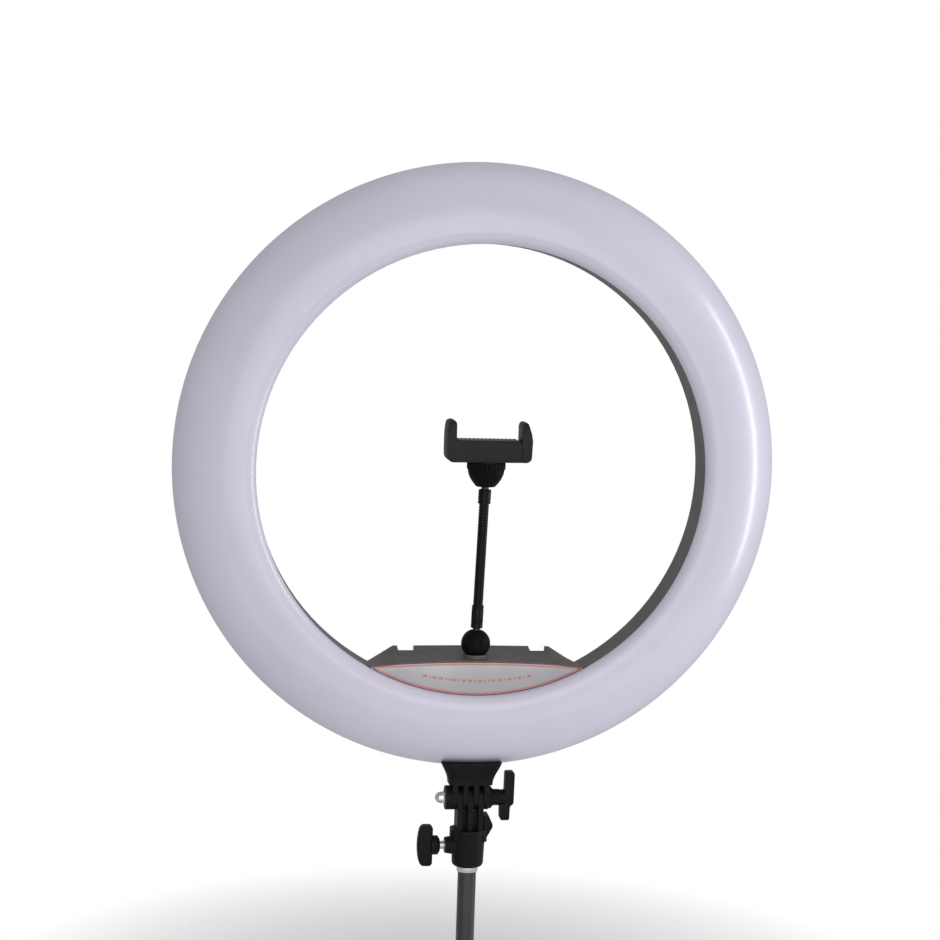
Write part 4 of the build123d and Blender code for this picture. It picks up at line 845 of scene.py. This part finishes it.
shelf_low, shelf_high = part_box("shelf_pad")
shelf_steps = 120
shelf_grooves = 15
groove_depth = 0.0004
shelf_outline = [(shelf_high[0], shelf_low[2])]
for step in range(shelf_steps + 1):
    part = step / shelf_steps
    x = shelf_high[0] + (shelf_low[0] - shelf_high[0]) * part
    groove = groove_depth * max(0.0, cos(2 * pi * part * shelf_grooves)) ** 3
    shelf_outline.append((x, shelf_high[2] - groove))
shelf_outline.append((shelf_low[0], shelf_low[2]))
shelf = extruded(
    "shelf_strip",
    shelf_outline,
    Vector((0.0, shelf_high[1], 0.0)),
    (1, 0, 0),
    (0, 0, 1),
    shelf_high[1] - shelf_low[1],
)
wear(shelf, soft_rubber)
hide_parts("shelf_pad")
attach(shelf, "holder")

# ------------------------------------------------------------------ foot of the head
# A black glass-filled nylon foot screwed to the belly of the ring. It narrows in a hollow curve to four
# knuckle fingers, which close on the three fingers of the stand's socket.

hinge_height = ring_height - 0.251
foot_nylon, foot_shader = finish_named(
    "glass_filled_nylon",
    (0.0040, 0.0037, 0.0041),
    (0.0074, 0.0069, 0.0076),
    (0.38, 0.52),
    grain_scale=1900.0,
    cloud_scale=32.0,
    bump=0.28,
    depth=0.00014,
)
foot_shader.inputs["Specular IOR Level"].default_value = 0.11


def dressed(name, material, edge=0.0003):
    """Give a library piece its material and softly broken edges."""
    obj = node[name]
    wear(obj, material)
    if edge:
        weld = obj.modifiers.new("welded", "WELD")
        weld.merge_threshold = 1e-6
        bevel = obj.modifiers.new("soft_edges", "BEVEL")
        bevel.width = edge
        bevel.segments = 2
        bevel.limit_method = "ANGLE"
        bevel.angle_limit = radians(38)
    return obj


dressed("tilt_foot", foot_nylon, 0.0005)

# ------------------------------------------------------------------ tilt bolt, dome nut, washer and T-knob
# An M6 bolt runs through all seven fingers. Its hexagon head is moulded into the T-shaped knob on the
# right, which bears on a nylon washer. A bright dome nut sits in a hexagon pocket on the left.

bright_nickel, nickel_shader = finish_named(
    "nickel_chrome",
    (0.62, 0.61, 0.63),
    (0.72, 0.71, 0.72),
    (0.09, 0.18),
    grain_scale=1200.0,
    cloud_scale=120.0,
    bump=0.03,
    depth=0.00003,
)
nickel_shader.inputs["Metallic"].default_value = 1.0
zinc_plate, zinc_shader = finish_named(
    "zinc_plate",
    (0.46, 0.46, 0.44),
    (0.58, 0.58, 0.55),
    (0.26, 0.42),
    grain_scale=900.0,
    cloud_scale=160.0,
    bump=0.08,
    depth=0.00004,
)
zinc_shader.inputs["Metallic"].default_value = 1.0
dressed("tilt_dome_nut", bright_nickel, 0.0002)
dressed("tilt_washer", foot_nylon, 0.0002)
dressed("tilt_bolt", zinc_plate, 0.0002)

knob_outline = [(0.0266, -0.0040), (0.0268, 0.0190), (0.0277, 0.0200), (0.0329, 0.0200), (0.0338, 0.0190)]
knob_outline += [(0.0336, -0.0035), (0.0327, -0.0050), (0.0312, -0.0060), (0.0308, -0.0075)]
knob_outline += [(0.0306, -0.0160), (0.0297, -0.0170), (0.0244, -0.0170), (0.0235, -0.0160)]
knob_outline += [(0.0233, -0.0050), (0.0240, -0.0042)]
knob_wings = extruded(
    "tilt_knob_wings",
    [(x, z) for x, z in reversed(knob_outline)],
    (0.0, 0.0050, hinge_height),
    (1, 0, 0),
    (0, 0, 1),
    0.0100,
)
softened(knob_wings, 0.0009, 4)
knob_hub_profile = [(0.00305, 0.01745), (0.0058, 0.01745), (0.0062, 0.0178), (0.0062, 0.0222)]
knob_hub_profile += [(0.0060, 0.0226), (0.0058, 0.0240), (0.0060, 0.0262), (0.0062, 0.0275)]
knob_hub_profile += [(0.0058, 0.0284), (0.00305, 0.0284)]
hinge_centre = (0.0, 0.0, hinge_height)
knob_hub = turned("tilt_knob_hub", knob_hub_profile, hinge_centre, (1, 0, 0), steps=72, closed=True)
tilt_knob = joined("tilt_knob_moulding", knob_wings, knob_hub)
wear(tilt_knob, foot_nylon)
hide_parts("tilt_knob")
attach(tilt_knob, "tilt_handle")

# ------------------------------------------------------------------ socket adapter
# The nylon socket that drops over the stand's spigot, with a lug on its right, a boss for the clamp
# screw on its left and three fingers on top. A brass thread insert is pressed in the boss.

dressed("socket_body", foot_nylon, 0.0005)
turned_brass, brass_shader = finish_named(
    "turned_brass",
    (0.56, 0.40, 0.17),
    (0.66, 0.49, 0.23),
    (0.22, 0.36),
    grain_scale=1600.0,
    cloud_scale=140.0,
    bump=0.06,
    depth=0.00003,
)
brass_shader.inputs["Metallic"].default_value = 1.0
dressed("clamp_screw_insert", turned_brass, 0.0002)

# ------------------------------------------------------------------ clamp screw with wing knob
# A zinc-plated M6 screw with a long wing moulded on its outer end. A loose nylon pad on its tip keeps it
# from marking the spigot.

natural_nylon, natural_shader = finish_named(
    "natural_nylon",
    (0.48, 0.46, 0.41),
    (0.56, 0.54, 0.48),
    (0.40, 0.52),
    grain_scale=1500.0,
    cloud_scale=90.0,
    bump=0.1,
    depth=0.00006,
)
natural_shader.inputs["Subsurface Weight"].default_value = 0.1
natural_shader.inputs["Subsurface Scale"].default_value = 0.001
dressed("clamp_screw_pad", natural_nylon, 0.0002)
dressed("clamp_screw", zinc_plate, 0.0002)

screw_height = ring_height - 0.288
wing_half = 0.0156
wing_thickness = 0.0084
wing_bow = 0.0022
wing_corner = 0.0016
wing_outline = [(-0.0275, wing_half - wing_corner)]
wing_outline += [(-0.0291, wing_half), (-0.0352, wing_half), (-0.0368, wing_half - wing_corner)]
for step in range(1, 16):
    height = (wing_half - wing_corner) * (1 - step / 8)
    wing_outline.append((-0.0368 - wing_bow * (1 - (height / wing_half) ** 2), height))
wing_outline += [(-0.0368, -wing_half + wing_corner), (-0.0352, -wing_half), (-0.0291, -wing_half)]
wing_outline += [(-0.0275, -wing_half + wing_corner), (-0.0275, 0.0)]
wing_blade = extruded(
    "wing_blade",
    [(x, z) for x, z in reversed(wing_outline)],
    (0.0, wing_thickness / 2, screw_height),
    (1, 0, 0),
    (0, 0, 1),
    wing_thickness,
)
softened(wing_blade, 0.0011, 4)
wing_hub_profile = [(0.00305, 0.0219), (0.0046, 0.0219), (0.0050, 0.0221), (0.0070, 0.0233), (0.0073, 0.0238)]
wing_hub_profile += [(0.0073, 0.0272), (0.0071, 0.0284), (0.0064, 0.0288), (0.00305, 0.0288)]
wing_hub = turned("wing_hub", wing_hub_profile, (0.0, 0.0, screw_height), (-1, 0, 0), steps=72, closed=True)
wing_knob = joined("clamp_wing_moulding", wing_blade, wing_hub)
wear(wing_knob, foot_nylon)
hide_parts("clamp_wing_knob")
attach(wing_knob, "clamp_wing")

# ------------------------------------------------------------------ spigot and top tube of the stand
# A nickel-plated spigot with a waist for the clamp screw, pressed in a 14 mm steel tube that is coated in
# black. A nylon plug closes the cut lower end.

dressed("stand_spigot", bright_nickel, 0.0002)
tube_black, tube_shader = finish_named(
    "tube_powder_coat",
    (0.0095, 0.0085, 0.0105),
    (0.0170, 0.0150, 0.0185),
    (0.27, 0.36),
    grain_scale=1300.0,
    cloud_scale=26.0,
    bump=0.1,
    depth=0.00009,
)
tube_shader.inputs["Coat Weight"].default_value = 0.3
tube_shader.inputs["Coat Roughness"].default_value = 0.2
tube_profile = [(0.0058, 0.0002), (0.0062, 0.0), (0.0067, 0.0), (0.0070, 0.0003), (0.0070, 0.1116)]
tube_profile += [(0.0067, 0.1120), (0.0062, 0.1120), (0.0058, 0.1118)]
tube = turned("top_tube", tube_profile, (0, 0, 0), (0, 0, 1), steps=96, closed=True)
wear(tube, tube_black)
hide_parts("stand_tube")
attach(tube, "stand_post")
dressed("tube_end_plug", foot_nylon, 0.0002)

# ------------------------------------------------------------------ knobs and sockets on the back
# Two push-on dimmer knobs with a white pointer line, a rocker switch in its bezel and the inlet for the
# power lead. The dimmers' bodies sit behind them on the circuit board.

back_plane = 0.018
knob_height = ring_height - 0.1545
pointer_white, _ = finish_named(
    "pointer_paint",
    (0.66, 0.65, 0.62),
    (0.78, 0.77, 0.74),
    (0.45, 0.6),
    grain_scale=2600.0,
    cloud_scale=200.0,
    bump=0.1,
    depth=0.00003,
)
flute_floor_radius = 0.0066
flutes_per_turn = 20
flute_share = 0.045
control_offset = 0.034
controls = (("dimmer", -control_offset, "dimmer"), ("colour", control_offset, "colour_dial"))
for control, control_x, body in controls:
    knob_profile = [(0.0032, 0.0006), (0.0078, 0.0004), (0.0081, 0.0008), (0.0081, 0.0020), (0.0079, 0.0024)]
    knob_profile += [(0.0078, 0.0040), (0.0076, 0.0095), (0.0074, 0.0106), (0.0068, 0.0113), (0.0050, 0.0113)]
    knob_profile += [(0.0046, 0.0110), (0.0032, 0.0109)]
    knob_at = (control_x, back_plane, knob_height)
    knob = turned(f"{control}_knob_cap", knob_profile, knob_at, (0, 1, 0), steps=160, closed=False)
    for vertex in knob.data.vertices:
        depth = vertex.co.y - back_plane
        out = Vector((vertex.co.x - control_x, vertex.co.z - knob_height))
        if out.length > flute_floor_radius and 0.0023 < depth < 0.0108:
            turn = atan2(out.y, out.x) * flutes_per_turn
            out *= 1 - flute_share * max(0.0, cos(turn)) ** 2
            vertex.co.x = control_x + out.x
            vertex.co.z = knob_height + out.y
    wear(shade(knob, 40), foot_nylon)
    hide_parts(f"{control}_knob")
    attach(knob, body)
    pointer = extruded(
        f"{control}_pointer",
        [(-0.00045, 0.0018), (0.00045, 0.0018), (0.00045, 0.0064), (0.0, 0.0069), (-0.00045, 0.0064)],
        (control_x, back_plane + 0.01136, knob_height),
        (1, 0, 0),
        (0, 0, 1),
        0.0004,
    )
    wear(pointer, pointer_white)
    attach(pointer, body)
    dressed(f"{control}_shaft", zinc_plate, 0.0002)
    dressed(f"{control}_potentiometer", zinc_plate, 0.0003)

gloss_black, _ = finish_named(
    "gloss_black_moulding",
    (0.012, 0.012, 0.013),
    (0.019, 0.019, 0.020),
    (0.22, 0.34),
    grain_scale=1700.0,
    cloud_scale=90.0,
    bump=0.08,
    depth=0.00005,
)
for name in ("power_switch_body", "power_rocker", "dc_inlet", "board_capacitors", "driver_chips"):
    dressed(name, gloss_black, 0.0003)

# ------------------------------------------------------------------ screws
# Pan-head screws in black oxide hold the diffuser, the foot and the control box. Bright ones hold the
# circuit boards of the light ring.

black_oxide, oxide_shader = finish_named(
    "black_oxide_screw",
    (0.024, 0.024, 0.026),
    (0.042, 0.041, 0.043),
    (0.32, 0.46),
    grain_scale=1500.0,
    cloud_scale=180.0,
    bump=0.1,
    depth=0.00004,
)
oxide_shader.inputs["Metallic"].default_value = 0.85
for name in ("housing_screws", "foot_screws"):
    dressed(name, black_oxide, 0.0004)
for name in ("led_board_screws", "arm_base_nut", "clamp_spring"):
    dressed(name, zinc_plate, 0.0 if name == "clamp_spring" else 0.0002)

# ------------------------------------------------------------------ light ring and electronics
# Inside the housing: four quarter boards with cool and warm light-emitting diodes in turn, the control
# board with its capacitors, inductors and driver chips, and three leads between them.

white_mask, _ = finish_named(
    "white_solder_mask",
    (0.70, 0.71, 0.68),
    (0.78, 0.79, 0.76),
    (0.30, 0.42),
    grain_scale=1200.0,
    cloud_scale=45.0,
    bump=0.06,
    depth=0.00004,
)
green_mask, _ = finish_named(
    "green_solder_mask",
    (0.020, 0.110, 0.045),
    (0.032, 0.150, 0.065),
    (0.28, 0.42),
    grain_scale=1200.0,
    cloud_scale=60.0,
    bump=0.08,
    depth=0.00005,
)
cool_phosphor, _ = finish_named(
    "cool_phosphor",
    (0.72, 0.70, 0.38),
    (0.80, 0.78, 0.48),
    (0.35, 0.5),
    grain_scale=3000.0,
    cloud_scale=300.0,
    bump=0.1,
    depth=0.00003,
)
warm_phosphor, _ = finish_named(
    "warm_phosphor",
    (0.78, 0.44, 0.12),
    (0.86, 0.52, 0.18),
    (0.35, 0.5),
    grain_scale=3000.0,
    cloud_scale=300.0,
    bump=0.1,
    depth=0.00003,
)
ferrite_grey, _ = finish_named(
    "ferrite",
    (0.060, 0.060, 0.064),
    (0.095, 0.094, 0.098),
    (0.50, 0.66),
    grain_scale=1400.0,
    cloud_scale=130.0,
    bump=0.3,
    depth=0.0001,
)
red_sleeve, _ = finish_named(
    "lead_insulation",
    (0.32, 0.024, 0.018),
    (0.42, 0.040, 0.030),
    (0.36, 0.5),
    grain_scale=1500.0,
    cloud_scale=90.0,
    bump=0.1,
    depth=0.00005,
)
for quarter_name in ("upper", "left", "lower", "right"):
    dressed(f"led_board_{quarter_name}", white_mask, 0.0002)
for name, material in (
    ("cool_leds", cool_phosphor),
    ("warm_leds", warm_phosphor),
    ("control_board", green_mask),
    ("board_inductors", ferrite_grey),
    ("led_leads", red_sleeve),
):
    dressed(name, material, 0.0 if name == "led_leads" else 0.0002)

# ------------------------------------------------------------------ studio floor
# A wide pale sweep of painted boards, so fine in texture that it reads as plain.

floor_paint, floor_shader = finish_named(
    "studio_paint",
    (0.90, 0.90, 0.90),
    (0.94, 0.94, 0.94),
    (0.60, 0.75),
    grain_scale=220.0,
    cloud_scale=1.2,
    bump=0.05,
    depth=0.0005,
)
floor_radius = 0.65
floor_hub = 0.02
floor_thickness = 0.004
floor_profile = [(radius, 0.0) for radius in (floor_hub, 0.2, 0.4, floor_radius)]
floor_profile += [(floor_radius, -floor_thickness), (floor_hub, -floor_thickness)]
floor_tree = floor_paint.node_tree
floor_place = floor_tree.nodes.new("ShaderNodeTexCoord")
floor_reach = floor_tree.nodes.new("ShaderNodeVectorMath")
floor_reach.operation = "LENGTH"
floor_tree.links.new(floor_place.outputs["Object"], floor_reach.inputs[0])
floor_fade = ranged(floor_tree, floor_reach.outputs["Value"], 0.0, 1.0, 0.05, 0.40)
floor_clear = floor_tree.nodes.new("ShaderNodeBsdfTransparent")
floor_mix = floor_tree.nodes.new("ShaderNodeMixShader")
floor_tree.links.new(floor_fade, floor_mix.inputs["Fac"])
floor_tree.links.new(floor_shader.outputs["BSDF"], floor_mix.inputs[1])
floor_tree.links.new(floor_clear.outputs["BSDF"], floor_mix.inputs[2])
floor_tree.links.new(floor_mix.outputs["Shader"], floor_tree.nodes["Material Output"].inputs["Surface"])
floor = turned("studio_floor", floor_profile, (0.0, 0.0, -0.0015), (0, 0, 1), steps=64, closed=False)
wear(floor, floor_paint)

# ------------------------------------------------------------------ studio light
# A tall narrow soft box well to the right, a broad one in front, one overhead and one low down, in a bright
# even room.


def soft_box(name, at, aim, size, power, colour):
    light = bpy.data.lights.new(name, "AREA")
    light.shape = "RECTANGLE"
    light.size, light.size_y = size
    light.energy = power
    light.color = colour
    lamp = bpy.data.objects.new(name, light)
    lamp.location = at
    lamp.rotation_euler = (Vector(aim) - Vector(at)).to_track_quat("-Z", "Y").to_euler()
    bpy.context.scene.collection.objects.link(lamp)
    return lamp


soft_box("key_box", (1.42, -0.30, 0.50), (0.0, 0.0, 0.42), (0.20, 1.4), 10.5, (1.0, 0.985, 1.0))
soft_box("front_box", (-0.3, -3.1, 0.9), (0.0, 0.0, 0.42), (2.6, 2.4), 38.0, (1.0, 0.99, 1.0))
soft_box("top_box", (0.1, -0.3, 2.1), (0.0, 0.0, 0.3), (1.4, 1.4), 2.5, (1.0, 1.0, 1.0))
soft_box("low_box", (0.0, -0.85, -0.25), (0.0, 0.0, 0.25), (1.8, 0.3), 1.6, (0.98, 0.97, 1.0))

world = bpy.data.worlds.new("studio_room")
bpy.context.scene.world = world
world.use_nodes = True
room = world.node_tree
room.nodes.clear()
room_out = room.nodes.new("ShaderNodeOutputWorld")
room_light = room.nodes.new("ShaderNodeBackground")
room_seen = room.nodes.new("ShaderNodeBackground")
room_mix = room.nodes.new("ShaderNodeMixShader")
room_path = room.nodes.new("ShaderNodeLightPath")
room_light.inputs["Color"].default_value = (0.96, 0.96, 1.0, 1.0)
room_light.inputs["Strength"].default_value = 0.48
room_seen.inputs["Color"].default_value = (1.0, 1.0, 1.0, 1.0)
room_seen.inputs["Strength"].default_value = 1.0
room.links.new(room_path.outputs["Is Camera Ray"], room_mix.inputs["Fac"])
room.links.new(room_light.outputs["Background"], room_mix.inputs[1])
room.links.new(room_seen.outputs["Background"], room_mix.inputs[2])
room.links.new(room_mix.outputs["Shader"], room_out.inputs["Surface"])

# ------------------------------------------------------------------ camera
# Slightly left of the ring's axis and a little above it, far enough back to keep the ring round.

aim = Vector((0.0, -0.020, ring_height))
camera_distance = 1.6
camera_turn = radians(8.7)
camera_rise = radians(6.1)
camera_roll = radians(1.9)
back = Vector((-sin(camera_turn) * cos(camera_rise), -cos(camera_turn) * cos(camera_rise), sin(camera_rise)))
lens = bpy.data.cameras.new("studio_camera")
lens.sensor_width = 36.0
lens.lens = 82.84
lens.shift_x = -0.0150
lens.shift_y = 0.00245
lens.clip_start = 0.05
lens.clip_end = 200.0
camera = bpy.data.objects.new("studio_camera", lens)
camera.location = aim + back * camera_distance
facing = (-back).to_track_quat("-Z", "Y").to_matrix().to_4x4()
camera.rotation_euler = (facing @ Matrix.Rotation(camera_roll, 4, "Z")).to_euler()
bpy.context.scene.collection.objects.link(camera)
bpy.context.scene.camera = camera
bpy.context.scene.view_settings.view_transform = "Standard"
bpy.context.scene.view_settings.look = "None"
